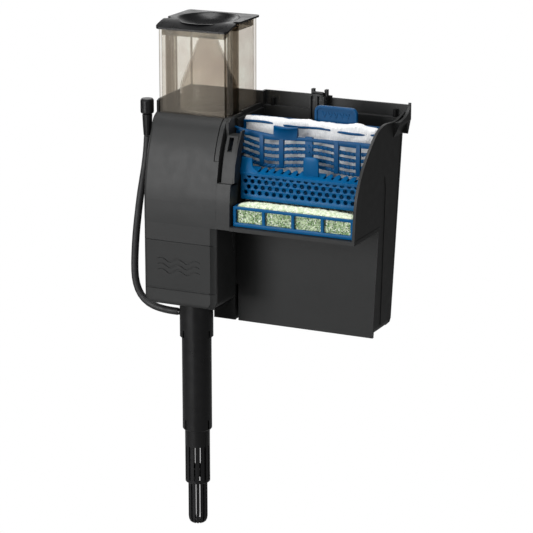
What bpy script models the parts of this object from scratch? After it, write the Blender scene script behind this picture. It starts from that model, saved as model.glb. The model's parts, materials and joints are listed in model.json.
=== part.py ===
"""Hang-on aquarium filter with a protein skimmer, in metres, +Z up.

The origin is on the underside of the spillway floor, where the filter rests on the tank's rim. The pump column
hangs inside the tank (-Y), the media box hangs outside it (+Y), and the glass stands in the slot between them.
"""

import math

import bmesh
import bpy
from mathutils import Matrix, Vector

MM = 0.001
GAP = 0.3 * MM
WALL = 2.5 * MM
OVERLAP = 0.4 * MM

# The box and the column, seen from inside the tank.
LEFT_X = -145 * MM
SEAM_X = -72 * MM
RIGHT_X = 66 * MM
SPILLWAY_FRONT_Y = -47 * MM
BACK_Y = 51 * MM
FLOOR_TOP_Z = 3.5 * MM
RIM_TOP_Z = 108 * MM
SIDE_DRAFT = math.radians(2.8)

# The slot for the tank's glass.
GLASS_FRONT_Y = -7 * MM
GLASS_BACK_Y = 8 * MM

# The part of the box that hangs outside the tank.
REAR_LEFT_X = -101.5 * MM
REAR_BOTTOM_Z = -100 * MM
REAR_CORNER_R = 8 * MM

# The flared rim on which the cover sits.
FLARE_OUT = 5.7 * MM
FLARE_FOOT_Z = 82 * MM
FLARE_STEP_Z = 95 * MM
LOW_RIM_TOP_Z = 106.2 * MM
LOW_RIM_LEFT_X = -5 * MM

# The column and what it holds.
COLUMN_BOTTOM_Z = -76 * MM
COLUMN_TOP_Z = 97 * MM
COLUMN_MID_X = (LEFT_X + SEAM_X) / 2
COVER_LOW_Z = -61.5 * MM
COVER_HIGH_Z = -16 * MM
COVER_SIDE = 4 * MM
PUMP_Y = -27 * MM
PUMP_Z = -40 * MM
SHAFT_R = 1.2 * MM

# The collection cup.
CUP_LOW_Z = 94 * MM
CUP_LEFT_X = -142.1 * MM
CUP_RIGHT_X = -74.9 * MM
CUP_FRONT_Y = -19 * MM
CUP_BACK_Y = 45 * MM
CUP_CORNER_R = 3 * MM
CUP_WALL = 2 * MM
CUP_HOLE_R = 20 * MM
CONE_R = 25.5 * MM
CONE_TOP_Z = 162 * MM
CONE_WALL = 1.5 * MM
NOTCH_Y = 1 * MM
NOTCH_HALF = 6.5 * MM
NOTCH_DEPTH = 4.5 * MM
CUP_MID = ((CUP_LEFT_X + CUP_RIGHT_X) / 2, (CUP_FRONT_Y + CUP_BACK_Y) / 2)
LID_TOP_Z = 178 * MM
LID_FRONT_Z = 171.5 * MM
LID_PLATE = 2 * MM
LID_OVERHANG = 2.4 * MM
DISH_Y = 15 * MM
DISH_R = 26 * MM
DISH_DEPTH = 9 * MM
SEAL_WALL = 1.5 * MM
SEAL_HEIGHT = 5 * MM

# The intake tube, from the socket down to the strainer.
TUBE_X = -103 * MM
TUBE_Y = -25 * MM
SOCKET_R = 15.5 * MM
SOCKET_END_Z = -108.5 * MM
UPPER_TUBE_R = 13.6 * MM
UPPER_TUBE_END_Z = -198 * MM
LOWER_TUBE_R = 11.5 * MM
LOWER_TUBE_END_Z = -250 * MM
STRAINER_R = 8.9 * MM
STRAINER_END_Z = -290.5 * MM
STRAINER_SLOTS = 8

# The media in the box, from the spillway back.
BAY_LEFT_X = -57 * MM
BAY_RIGHT_X = 60 * MM
SPONGE_FRONT_Y = -43 * MM
SPONGE_BACK_Y = -29 * MM
SPONGE_TOP_Z = 21.5 * MM
BIO_FRONT_Y = -27 * MM
BIO_BACK_Y = 0 * MM
BIO_LOW_Z = 23 * MM
BIO_HIGH_Z = 50 * MM
GRID_LOW_Z = 51.5 * MM
GRID_HIGH_Z = 86 * MM
GRID_FRONT_Y = -12 * MM
CARTRIDGE_FRONT_Y = 3 * MM
CARTRIDGE_BACK_Y = 17 * MM
CARTRIDGE_TOP_Z = 93 * MM
FRAME_BAR = 3 * MM

# The air line of the venturi.
HOSE_R = 3.4 * MM
VALVE_X = -151.5 * MM
VALVE_Y = -24 * MM
VALVE_TOP_Z = 94 * MM
KNOB_TOP_Z = 107.5 * MM
KNOB_R = 6.1 * MM
HOSE_ROUTE = [
    (-151.5, -24, 73), (-152.2, -24.6, 60), (-154, -25.5, 44), (-158, -26.5, 20), (-161, -27, -2),
    (-163.2, -27, -20), (-164.6, -27, -38), (-165, -27, -54), (-163.5, -27, -66), (-159, -27, -76),
    (-151, -27, -83), (-141, -27, -86.3), (-130, -26.8, -87.6), (-121.5, -25.8, -88),
]
HOSE_END_Z = -88 * MM

for old in list(bpy.data.objects):
    bpy.data.objects.remove(old, do_unlink=True)


def new_collection(name):
    collection = bpy.data.collections.new(name)
    bpy.context.scene.collection.children.link(collection)
    return collection


PARTS = new_collection("hang_on_filter")
HELPERS = new_collection("cutters")
HELPERS.hide_render = True


def plastic(name, colour, roughness, metallic=0.0, alpha=1.0):
    """A Principled material of this linear colour."""
    made = bpy.data.materials.new(name)
    made.use_nodes = True
    shader = made.node_tree.nodes["Principled BSDF"]
    shader.inputs["Base Color"].default_value = (*colour, 1)
    shader.inputs["Roughness"].default_value = roughness
    shader.inputs["Metallic"].default_value = metallic
    shader.inputs["Alpha"].default_value = alpha
    made.diffuse_color = (*colour, alpha)
    return made


CHARCOAL = plastic("charcoal_plastic", (0.06, 0.06, 0.062), 0.42)
BLACK = plastic("black_plastic", (0.02, 0.02, 0.021), 0.4)
BLUE = plastic("blue_plastic", (0.0, 0.11, 0.47), 0.35)
SMOKE = plastic("smoke_clear_plastic", (0.33, 0.29, 0.22), 0.08, alpha=0.45)
FLOSS = plastic("white_floss", (0.82, 0.85, 0.88), 0.95)
SPONGE = plastic("green_sponge", (0.55, 0.66, 0.45), 0.95)
CARBON = plastic("carbon", (0.03, 0.03, 0.03), 0.9)
RUBBER = plastic("black_rubber", (0.015, 0.015, 0.015), 0.7)
CERAMIC = plastic("white_ceramic", (0.85, 0.84, 0.8), 0.3)
MAGNET = plastic("ferrite_magnet", (0.05, 0.045, 0.04), 0.5)
STEEL = plastic("stainless_steel", (0.6, 0.6, 0.6), 0.3, metallic=1.0)


def add_object(name, mesh, material, collection=PARTS):
    obj = bpy.data.objects.new(name, mesh)
    collection.objects.link(obj)
    if material:
        obj.data.materials.append(material)
    if collection is HELPERS:
        obj.hide_render = True
        obj.display_type = "WIRE"
    return obj


def curve_to_mesh(obj, material):
    """Replaces a curve object by a closed mesh object of the same name and place."""
    graph = bpy.context.evaluated_depsgraph_get()
    bpy.context.view_layer.update()
    mesh = bpy.data.meshes.new_from_object(obj.evaluated_get(graph))
    shape = bmesh.new()
    shape.from_mesh(mesh)
    bmesh.ops.remove_doubles(shape, verts=shape.verts, dist=0.00001)
    bmesh.ops.recalc_face_normals(shape, faces=shape.faces)
    shape.to_mesh(mesh)
    shape.free()
    name = obj.name
    place = obj.matrix_world.copy()
    collection = obj.users_collection[0]
    bpy.data.objects.remove(obj, do_unlink=True)
    mesh.materials.clear()
    made = add_object(name, mesh, material, collection)
    made.matrix_world = place
    return made


PLANES = {
    "X": Matrix(((0, 0, 1), (1, 0, 0), (0, 1, 0))).to_4x4(),
    "Y": Matrix(((1, 0, 0), (0, 0, -1), (0, 1, 0))).to_4x4(),
    "Z": Matrix.Identity(4),
}


def outline_solid(name, rings, across, low, high, material=None, collection=PARTS):
    """A flat outline, extruded from low to high along the axis across. Rings after the first are holes.

    The points are (y, z) across X, (x, z) across Y and (x, y) across Z.
    """
    curve = bpy.data.curves.new(name, "CURVE")
    curve.dimensions = "2D"
    curve.fill_mode = "BOTH"
    curve.extrude = (high - low) / 2
    for outline in rings:
        spline = curve.splines.new("POLY")
        spline.points.add(len(outline) - 1)
        for point, (u, v) in zip(spline.points, outline):
            point.co = (u, v, 0, 1)
        spline.use_cyclic_u = True
    obj = add_object(name, curve, None, collection)
    middle = Vector([(low + high) / 2 if axis == across else 0 for axis in "XYZ"])
    obj.matrix_world = Matrix.Translation(middle) @ PLANES[across]
    return curve_to_mesh(obj, material)


def block(name, low, high, material=None, collection=PARTS, bevel=0.0):
    """A box between two corners."""
    shape = bmesh.new()
    bmesh.ops.create_cube(shape, size=1)
    size = Vector(high) - Vector(low)
    middle = (Vector(high) + Vector(low)) / 2
    bmesh.ops.scale(shape, vec=size, verts=shape.verts)
    mesh = bpy.data.meshes.new(name)
    shape.to_mesh(mesh)
    shape.free()
    obj = add_object(name, mesh, material, collection)
    obj.location = middle
    if bevel:
        rounding = obj.modifiers.new("rounded_edges", "BEVEL")
        rounding.width = bevel
        rounding.segments = 2
    return obj


def turned(name, profile, place, material=None, collection=PARTS, steps=24, axis="Z"):
    """A turned shape. The profile's (radius, height) points run down its outer side."""
    mesh = bpy.data.meshes.new(name)
    closed = profile[0][0] > 0
    edges = [(i, i + 1) for i in range(len(profile) - 1)]
    if closed:
        edges.append((len(profile) - 1, 0))
    mesh.from_pydata([(r, 0, z) for r, z in profile], edges, [])
    obj = add_object(name, mesh, material, collection)
    screw = obj.modifiers.new("turn", "SCREW")
    screw.steps = steps
    screw.render_steps = steps
    screw.use_merge_vertices = True
    screw.merge_threshold = 0.00001
    obj.location = place
    if axis == "Y":
        obj.rotation_euler = (math.radians(-90), 0, 0)
    if axis == "X":
        obj.rotation_euler = (0, math.radians(90), 0)
    return obj


def rod(name, radius, low, high, place, material=None, collection=PARTS, steps=20, axis="Z"):
    profile = [(0, high), (radius, high), (radius, low), (0, low)]
    return turned(name, profile, place, material, collection, steps, axis)


def ring(name, outer, inner, low, high, place, material=None, collection=PARTS, steps=24, axis="Z"):
    profile = [(outer, high), (outer, low), (inner, low), (inner, high)]
    return turned(name, profile, place, material, collection, steps, axis)


def boolean(target, other, operation, solver="EXACT"):
    """Cuts other from the target, or joins it on."""
    if other.users_collection[0] is not HELPERS:
        other.users_collection[0].objects.unlink(other)
        HELPERS.objects.link(other)
        other.hide_render = True
        other.display_type = "WIRE"
    change = target.modifiers.new(other.name, "BOOLEAN")
    change.operation = operation
    change.solver = solver
    change.object = other
    return target


def cut(target, *others):
    for other in others:
        boolean(target, other, "DIFFERENCE")


def join(target, *others):
    for other in others:
        boolean(target, other, "UNION")


def smooth(obj, angle=35):
    obj.data.shade_smooth()
    obj.data.set_sharp_from_angle(angle=math.radians(angle))


def arc(centre, radius, start, end, steps):
    """Points on a circle, from one angle to another in degrees."""
    return [
        (
            centre[0] + radius * math.cos(math.radians(start + (end - start) * i / steps)),
            centre[1] + radius * math.sin(math.radians(start + (end - start) * i / steps)),
        )
        for i in range(steps + 1)
    ]


def through(points, steps):
    """A smooth open curve through the points, with this many steps between each two of them."""
    vectors = [Vector(point) for point in points]
    padded = [2 * vectors[0] - vectors[1]] + vectors + [2 * vectors[-1] - vectors[-2]]
    found = []
    for before, a, b, after in zip(padded, padded[1:], padded[2:], padded[3:]):
        for step in range(steps):
            t = step / steps
            found.append(
                0.5 * (2 * a + (b - before) * t + (2 * before - 5 * a + 4 * b - after) * t**2
                       + (3 * a - before - 3 * b + after) * t**3)
            )
    return found + [vectors[-1]]


def flat_through(points, steps):
    """The same in two dimensions, as (u, v) pairs."""
    return [(p.x, p.y) for p in through([(u, v, 0) for u, v in points], steps)]


def mm(points):
    return [tuple(value * MM for value in point) for point in points]


def right_x(z):
    """The outer face of the right wall, which leans in towards its foot."""
    return RIGHT_X - (FLARE_FOOT_Z - z) * math.tan(SIDE_DRAFT)


def wall_front_curve():
    """The right wall's front edge (y, z), from the spillway's lip up to the cover's rim."""
    return flat_through(
        mm([(-47, 0), (-47, 22), (-46.5, 38), (-43, 50), (-36, 64), (-25, 77), (-12, 89.5), (-2, 94.5),
            (12, 97), (32, 95), (45, 97), (54, 100), (62, 107)]),
        2,
    )


def column_front_curve():
    """The column's front face (y, z), from its foot to its rounded top."""
    return flat_through(mm([(-47, -76), (-47, 15), (-45, 38), (-39, 64), (-31.5, 82), (-26, 91), (-20, 96)]), 3)


def housing():
    """The moulded media box: spillway, bay and the deep part outside the tank."""
    foot_right = right_x(REAR_BOTTOM_Z)
    corner_mid = (foot_right - REAR_CORNER_R, REAR_BOTTOM_Z + REAR_CORNER_R)
    deep = [(REAR_LEFT_X, REAR_BOTTOM_Z)] + arc(corner_mid, REAR_CORNER_R, -90, 0, 3)
    bay_left = SEAM_X + GAP
    seam = bay_left + OVERLAP
    back_outline = deep + [
        (right_x(FLARE_FOOT_Z), FLARE_FOOT_Z), (right_x(FLARE_FOOT_Z), FLARE_STEP_Z),
        (seam, FLARE_STEP_Z), (seam, -GAP), (REAR_LEFT_X, -GAP),
    ]
    body = outline_solid("media_box", [back_outline], "Y", BACK_Y - WALL, BACK_Y, CHARCOAL)
    plate_outline = [(REAR_LEFT_X, REAR_BOTTOM_Z), (foot_right, REAR_BOTTOM_Z)] + [
        (right_x(FLOOR_TOP_Z - OVERLAP), FLOOR_TOP_Z - OVERLAP), (seam + OVERLAP, FLOOR_TOP_Z - OVERLAP),
        (seam + OVERLAP, -GAP), (REAR_LEFT_X, -GAP),
    ]
    plate = outline_solid("rear_front_plate", [plate_outline], "Y", GLASS_BACK_Y, GLASS_BACK_Y + WALL, None, HELPERS)
    wall_left = REAR_LEFT_X + OVERLAP
    low = REAR_BOTTOM_Z + OVERLAP
    band = [(wall_left, low)] + arc(corner_mid, REAR_CORNER_R - OVERLAP, -90, 0, 3)
    band += arc(corner_mid, REAR_CORNER_R - WALL, 0, -90, 3)
    band += [(wall_left + WALL, low + WALL), (wall_left + WALL, -GAP - OVERLAP), (wall_left, -GAP - OVERLAP)]
    bottom = outline_solid(
        "rear_bottom", [band], "Y", GLASS_BACK_Y + OVERLAP, BACK_Y - OVERLAP, None, HELPERS
    )
    floor = outline_solid(
        "spillway_floor",
        [[(seam, 0), (right_x(0), 0), (right_x(FLOOR_TOP_Z), FLOOR_TOP_Z), (seam, FLOOR_TOP_Z)]],
        "Y", SPILLWAY_FRONT_Y - OVERLAP, GLASS_BACK_Y + WALL - OVERLAP, None, HELPERS,
    )
    for piece in (plate, bottom, floor, right_wall(), flare_back(), flare_right(), partition(bay_left)):
        boolean(body, piece, "UNION", solver="MANIFOLD")
    smooth(body)
    return body


def right_wall():
    """The right wall with its curved front edge, leaning in towards its foot."""
    foot_z = REAR_BOTTOM_Z + REAR_CORNER_R - OVERLAP
    back_y = BACK_Y - OVERLAP
    front_y = GLASS_BACK_Y + OVERLAP
    edge = [(y, max(z, OVERLAP)) for y, z in wall_front_curve()[:-2]]
    wall = outline_solid(
        "right_wall",
        [edge + [(back_y, 97 * MM), (back_y, foot_z), (front_y, foot_z), (front_y, OVERLAP)]],
        "X", -WALL, 0, None, HELPERS,
    )
    wall.data.transform(wall.matrix_world)
    for vertex in wall.data.vertices:
        vertex.co.x += right_x(vertex.co.z) - OVERLAP
    wall.matrix_world = Matrix.Identity(4)
    return wall


def flare_profile(wall_face):
    """The flared rim's section (outwards, z), from the wall's outer face."""
    out = FLARE_OUT
    return [
        (wall_face - WALL, FLARE_FOOT_Z), (wall_face - 0.4 * MM, FLARE_FOOT_Z - 1 * MM),
        (wall_face + out, FLARE_STEP_Z - 2 * MM), (wall_face + out, RIM_TOP_Z),
        (wall_face + out - WALL, RIM_TOP_Z), (wall_face + out - WALL, FLARE_STEP_Z),
        (wall_face - WALL, FLARE_STEP_Z - 1 * MM),
    ]


def flare_back():
    """The flared rim along the back, lower to the right of the cover's catch."""
    flare = outline_solid(
        "flare_back", [flare_profile(BACK_Y)], "X", SEAM_X + GAP + OVERLAP / 2,
        RIGHT_X + FLARE_OUT - OVERLAP, None, HELPERS,
    )
    above = block(
        "low_rim", (LOW_RIM_LEFT_X, BACK_Y - WALL, LOW_RIM_TOP_Z),
        (RIGHT_X + 2 * FLARE_OUT, BACK_Y + 2 * FLARE_OUT, RIM_TOP_Z + WALL), None, HELPERS,
    )
    cut(flare, above)
    return flare


def flare_right():
    """The right end of the flared rim, which dips towards the front."""
    flare = outline_solid(
        "flare_right", [flare_profile(RIGHT_X)], "Y", 30 * MM, BACK_Y + FLARE_OUT - OVERLAP, None, HELPERS
    )
    above = outline_solid(
        "flare_dip",
        [mm([(20, 95), (32, 95.2), (44, 97.2), (51, 101), (55, 106), (57, 120), (20, 120)])],
        "X", 50 * MM, 90 * MM, None, HELPERS,
    )
    cut(flare, above)
    return flare


def partition(bay_left):
    """The wall beside the column, with its front block and the two guide rails above it."""
    wall = block(
        "partition_wall", (bay_left, -40 * MM, 1 * MM), (bay_left + WALL, BACK_Y - 1 * MM, 93 * MM), None, HELPERS
    )
    curve = column_front_curve()
    low_front = [p for p in curve if 0 <= p[1] <= 62 * MM]
    front = outline_solid(
        "front_block", [[(-40 * MM, 0.5 * MM), (SPILLWAY_FRONT_Y, 0.5 * MM)] + low_front + [(-31 * MM, 62 * MM)]],
        "X", bay_left, BAY_LEFT_X - 1.5 * MM, None, HELPERS,
    )
    rail_curve = [p for p in curve if p[1] > 55 * MM]
    rail = outline_solid(
        "inner_rail", [[(-30 * MM, 55 * MM)] + rail_curve + [(-12 * MM, 96 * MM), (-12 * MM, 60 * MM)]],
        "X", bay_left, bay_left + 4.5 * MM, None, HELPERS,
    )
    outer = outline_solid(
        "outer_rail",
        [mm([(-41, 42), (-38.5, 58), (-32, 74), (-24, 86), (-18, 86), (-26, 66), (-31, 42)])],
        "X", bay_left + 6.5 * MM, bay_left + 15 * MM, None, HELPERS,
    )
    bridge = block(
        "rail_bridge", (bay_left + 1 * MM, -30 * MM, 62 * MM), (bay_left + 14 * MM, -26.5 * MM, 68 * MM), None, HELPERS
    )
    join(wall, front, rail, outer, bridge)
    return wall


def column():
    """The pump column inside the tank and the skimmer's housing above the rim, as one moulding."""
    front = column_front_curve()
    outer = front + [(-14 * MM, COLUMN_TOP_Z), (BACK_Y - GAP, COLUMN_TOP_Z), (BACK_Y - GAP, 0),
                     (GLASS_FRONT_Y, 0), (GLASS_FRONT_Y, COLUMN_BOTTOM_Z)]
    body = outline_solid("pump_column", [outer], "X", LEFT_X, SEAM_X, CHARCOAL)
    inner = [(y + WALL, z) for y, z in front[1:-2]] + [
        (CUP_FRONT_Y - 0.6 * MM, 91.5 * MM), (CUP_FRONT_Y - 0.6 * MM, 120 * MM), (BACK_Y - WALL - GAP, 120 * MM),
        (BACK_Y - WALL - GAP, WALL), (GLASS_FRONT_Y - WALL, WALL),
        (GLASS_FRONT_Y - WALL, COLUMN_BOTTOM_Z - 10 * MM), (SPILLWAY_FRONT_Y + WALL, COLUMN_BOTTOM_Z - 10 * MM),
    ]
    hollow = outline_solid("column_hollow", [inner], "X", LEFT_X + WALL, SEAM_X - WALL, None, HELPERS)
    window = block(
        "cover_window",
        (LEFT_X + COVER_SIDE, SPILLWAY_FRONT_Y - 5 * MM, COVER_LOW_Z),
        (SEAM_X - COVER_SIDE, SPILLWAY_FRONT_Y + WALL + 1 * MM, COVER_HIGH_Z), None, HELPERS,
    )
    side = outline_solid(
        "left_upstand",
        [mm([(-18, 90), (-18, 105), (-14, 106.5), (45, 108), (50.7, 108), (50.7, 90)])],
        "X", LEFT_X, LEFT_X + WALL - 0.2 * MM, None, HELPERS,
    )
    back = block(
        "back_upstand", (LEFT_X, BACK_Y - WALL - GAP, 90 * MM), (SEAM_X, BACK_Y - GAP, RIM_TOP_Z), None, HELPERS
    )
    outlet = block(
        "skimmer_outlet", (SEAM_X - 5 * MM, 20 * MM, 20 * MM), (SEAM_X + 5 * MM, 40 * MM, 60 * MM), None, HELPERS
    )
    cut(body, hollow, window, outlet)
    join(body, side, back)
    smooth(body)
    return body


def pump_cover():
    """The removable cover in front of the pump, with a plain wave relief."""
    cover = block(
        "pump_cover",
        (LEFT_X + COVER_SIDE + GAP, SPILLWAY_FRONT_Y, COVER_LOW_Z + GAP),
        (SEAM_X - COVER_SIDE - GAP, SPILLWAY_FRONT_Y + WALL, COVER_HIGH_Z - GAP),
        CHARCOAL,
    )
    grip = block(
        "cover_grip",
        (COLUMN_MID_X - 10 * MM, SPILLWAY_FRONT_Y - 1 * MM, COVER_LOW_Z - 1 * MM),
        (COLUMN_MID_X + 10 * MM, SPILLWAY_FRONT_Y + 1 * MM, COVER_LOW_Z + 2 * MM), None, HELPERS,
    )
    cut(cover, grip)
    return cover


def column_base():
    """The plug under the column with the intake's socket."""
    base = block(
        "column_base",
        (LEFT_X + WALL + GAP, SPILLWAY_FRONT_Y + WALL + GAP, COLUMN_BOTTOM_Z),
        (SEAM_X - WALL - GAP, GLASS_FRONT_Y - WALL - GAP, COLUMN_BOTTOM_Z + 4 * MM), CHARCOAL,
    )
    socket = rod("socket_outer", SOCKET_R, SOCKET_END_Z, COLUMN_BOTTOM_Z + 1 * MM, (TUBE_X, TUBE_Y, 0), None, HELPERS)
    bore = rod("socket_bore", UPPER_TUBE_R + 0.2 * MM, SOCKET_END_Z - 5 * MM, COLUMN_BOTTOM_Z - 4 * MM,
               (TUBE_X, TUBE_Y, 0), None, HELPERS)
    throat = rod("socket_throat", 10 * MM, COLUMN_BOTTOM_Z - 10 * MM, COLUMN_BOTTOM_Z + 10 * MM,
                 (TUBE_X, TUBE_Y, 0), None, HELPERS)
    join(base, socket)
    cut(base, bore, throat)
    smooth(base)
    return base


def intake():
    """The three telescoping pieces under the socket, and the seal between the first and the socket."""
    place = (TUBE_X, TUBE_Y, 0)
    ring("intake_tube", UPPER_TUBE_R, LOWER_TUBE_R + 0.35 * MM, UPPER_TUBE_END_Z, COLUMN_BOTTOM_Z - 4.6 * MM,
         place, BLACK)
    lower = ring("extension_tube", LOWER_TUBE_R, STRAINER_R + 0.35 * MM, LOWER_TUBE_END_Z,
                 UPPER_TUBE_END_Z + 14 * MM, place, BLACK)
    for index in range(2):
        slot = block(
            f"extension_slot_{index}", (-16 * MM, -1 * MM, -13 * MM), (16 * MM, 1 * MM, 13 * MM), None, HELPERS
        )
        slot.location = (TUBE_X, TUBE_Y, LOWER_TUBE_END_Z + 22 * MM)
        slot.rotation_euler = (0, 0, math.radians(30 + 90 * index))
        cut(lower, slot)
    strainer_top = LOWER_TUBE_END_Z + 14 * MM
    inner = STRAINER_R - 1.6 * MM
    profile = [
        (STRAINER_R, strainer_top), (STRAINER_R, STRAINER_END_Z + 3 * MM), (STRAINER_R - 3 * MM, STRAINER_END_Z),
        (0, STRAINER_END_Z), (0, STRAINER_END_Z + 2 * MM), (inner - 1.5 * MM, STRAINER_END_Z + 2 * MM),
        (inner, STRAINER_END_Z + 4 * MM), (inner, strainer_top),
    ]
    strainer = turned("strainer", profile, place, BLACK)
    for index in range(STRAINER_SLOTS // 2):
        slot = block(
            f"strainer_slot_{index}", (-14 * MM, -0.9 * MM, -13 * MM), (14 * MM, 0.9 * MM, 13 * MM), None, HELPERS
        )
        slot.location = (TUBE_X, TUBE_Y, STRAINER_END_Z + 21 * MM)
        slot.rotation_euler = (0, 0, math.radians(360 / STRAINER_SLOTS * index))
        cut(strainer, slot)
    for piece in ("intake_tube", "extension_tube", "strainer"):
        smooth(bpy.data.objects[piece])


def pump():
    """The motor block, its volute and the rotor on its ceramic shaft, which lies along X."""
    axis_at = (COLUMN_MID_X, PUMP_Y, PUMP_Z)
    motor = block(
        "pump_motor", (-139 * MM, PUMP_Y - 15 * MM, PUMP_Z - 15 * MM), (-112 * MM, PUMP_Y + 15 * MM, PUMP_Z + 15 * MM),
        BLACK, bevel=3 * MM,
    )
    well = rod("rotor_well", 9 * MM, -28 * MM, 20 * MM, (-108 * MM, PUMP_Y, PUMP_Z), None, HELPERS, axis="X")
    cut(motor, well)
    volute = block(
        "pump_volute", (-111.5 * MM, PUMP_Y - 16 * MM, PUMP_Z - 16 * MM), (-86 * MM, PUMP_Y + 16 * MM, PUMP_Z + 16 * MM),
        BLACK, bevel=3 * MM,
    )
    chamber = rod("volute_chamber", 12.5 * MM, -5 * MM, 20 * MM, (-109 * MM, PUMP_Y, PUMP_Z), None, HELPERS, axis="X")
    inlet = rod("volute_inlet", 5 * MM, 0, 30 * MM, (-100 * MM, PUMP_Y, PUMP_Z), None, HELPERS, axis="X")
    outlet = rod("volute_outlet", 7 * MM, 0, 30 * MM, (-98 * MM, PUMP_Y, PUMP_Z), None, HELPERS)
    cut(volute, chamber, inlet, outlet)
    rod("impeller_shaft", SHAFT_R, -24 * MM, 17.5 * MM, axis_at, CERAMIC, axis="X", steps=12)
    ring("impeller_magnet", 7.5 * MM, SHAFT_R + 0.4 * MM, -22 * MM, -5 * MM, axis_at, MAGNET, axis="X", steps=20)
    wheel = ring("needle_wheel", 4 * MM, SHAFT_R + 0.4 * MM, -4.7 * MM, 11 * MM, axis_at, BLACK, axis="X", steps=20)
    for index in range(6):
        blade = block(
            f"wheel_blade_{index}", (0 * MM, -0.8 * MM, 2.8 * MM), (10 * MM, 0.8 * MM, 10.8 * MM), None, HELPERS
        )
        blade.data.transform(Matrix.Translation(blade.location))
        blade.location = axis_at
        blade.rotation_euler = (math.radians(60 * index), 0, 0)
        join(wheel, blade)
    ring("front_bush", 3.2 * MM, SHAFT_R + 0.05 * MM, 14 * MM, 17 * MM, axis_at, CERAMIC, axis="X", steps=16)
    ring("rear_bush", 3.2 * MM, SHAFT_R + 0.05 * MM, -26 * MM, -22.5 * MM, axis_at, CERAMIC, axis="X", steps=16)
    for index, (dy, dz) in enumerate(((-13, -13), (13, 13))):
        rod(f"volute_screw_{index + 1}", 1.5 * MM, 0, 2 * MM, (-85.6 * MM, PUMP_Y + dy * MM, PUMP_Z + dz * MM),
            STEEL, axis="X", steps=12)


def skimmer():
    """The pipe that lifts the foam, the reaction chamber and the venturi's nozzle."""
    start = Vector((-98 * MM, PUMP_Y, PUMP_Z + 16.4 * MM))
    chamber_x, chamber_y = CUP_MID
    route = [start, start + Vector((0, 0, 14 * MM)), Vector((-99, -25.5, 8)) * MM, Vector((-100, -22, 20)) * MM]
    curve = bpy.data.curves.new("riser_pipe", "CURVE")
    curve.dimensions = "3D"
    curve.bevel_depth = 7.5 * MM
    curve.bevel_resolution = 3
    curve.use_fill_caps = True
    spline = curve.splines.new("POLY")
    points = through(route, 3)
    spline.points.add(len(points) - 1)
    for point, at in zip(spline.points, points):
        point.co = (*at, 1)
    pipe = curve_to_mesh(add_object("riser_pipe", curve, None), CHARCOAL)
    bore_curve = curve.copy()
    bore_curve.bevel_depth = 6 * MM
    bore = add_object("riser_bore", bore_curve, None, HELPERS)
    ends = [points[0] - (points[1] - points[0])] + points + [points[-1] + (points[-1] - points[-2])]
    bore_curve.splines.clear()
    longer = bore_curve.splines.new("POLY")
    longer.points.add(len(ends) - 1)
    for point, at in zip(longer.points, ends):
        point.co = (*at, 1)
    cut(pipe, curve_to_mesh(bore, None))
    ring("reaction_chamber", 26 * MM, 24 * MM, 4 * MM, 90 * MM, (chamber_x, chamber_y + 1 * MM, 0), CHARCOAL)
    turned("venturi_nozzle", [(3.5 * MM, 5.5 * MM), (4.6 * MM, 4 * MM), (4.6 * MM, -4.5 * MM), (2 * MM, -4.5 * MM),
                              (1.6 * MM, 5.5 * MM)], (-81 * MM, PUMP_Y, PUMP_Z), BLACK, steps=16, axis="X")


def cup_outline(inset=0.0):
    """The cup's section (x, y): a rounded rectangle with a grip notch in each side."""
    low = (CUP_LEFT_X + inset, CUP_FRONT_Y + inset)
    high = (CUP_RIGHT_X - inset, CUP_BACK_Y - inset)
    r = max(CUP_CORNER_R - inset, 0.8 * MM)
    half = NOTCH_HALF + inset
    depth = NOTCH_DEPTH
    points = arc((low[0] + r, low[1] + r), r, 180, 270, 3) + arc((high[0] - r, low[1] + r), r, 270, 360, 3)
    points += [(high[0], NOTCH_Y - half), (high[0] - depth, NOTCH_Y - half / 2),
               (high[0] - depth, NOTCH_Y + half / 2), (high[0], NOTCH_Y + half)]
    points += arc((high[0] - r, high[1] - r), r, 0, 90, 3) + arc((low[0] + r, high[1] - r), r, 90, 180, 3)
    points += [(low[0], NOTCH_Y + half), (low[0] + depth, NOTCH_Y + half / 2),
               (low[0] + depth, NOTCH_Y - half / 2), (low[0], NOTCH_Y - half)]
    return points


def lid_curve(lower=0.0):
    """The lid's top (y, z) from its front edge, which rolls down, to the back; or a curve that much below it."""
    front_y = CUP_FRONT_Y - LID_OVERHANG
    top = LID_TOP_Z - lower
    drop = LID_TOP_Z - LID_FRONT_Z
    return [
        (front_y - OVERLAP, top - drop), (front_y + 5 * MM, top - 0.56 * drop), (front_y + 11 * MM, top - 0.23 * drop),
        (front_y + 18 * MM, top - 0.06 * drop), (front_y + 25 * MM, top), (CUP_BACK_Y + 2 * LID_OVERHANG, top),
    ]


def between_curves(name, low, high):
    """A slab across the cup whose faces lie this far below the lid's top."""
    return outline_solid(
        name, [lid_curve(high) + lid_curve(low)[::-1]], "X", CUP_LEFT_X - 2 * LID_OVERHANG,
        CUP_RIGHT_X + 2 * LID_OVERHANG, None, HELPERS,
    )


def keep_inside(target, other):
    boolean(target, other, "INTERSECT")


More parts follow.
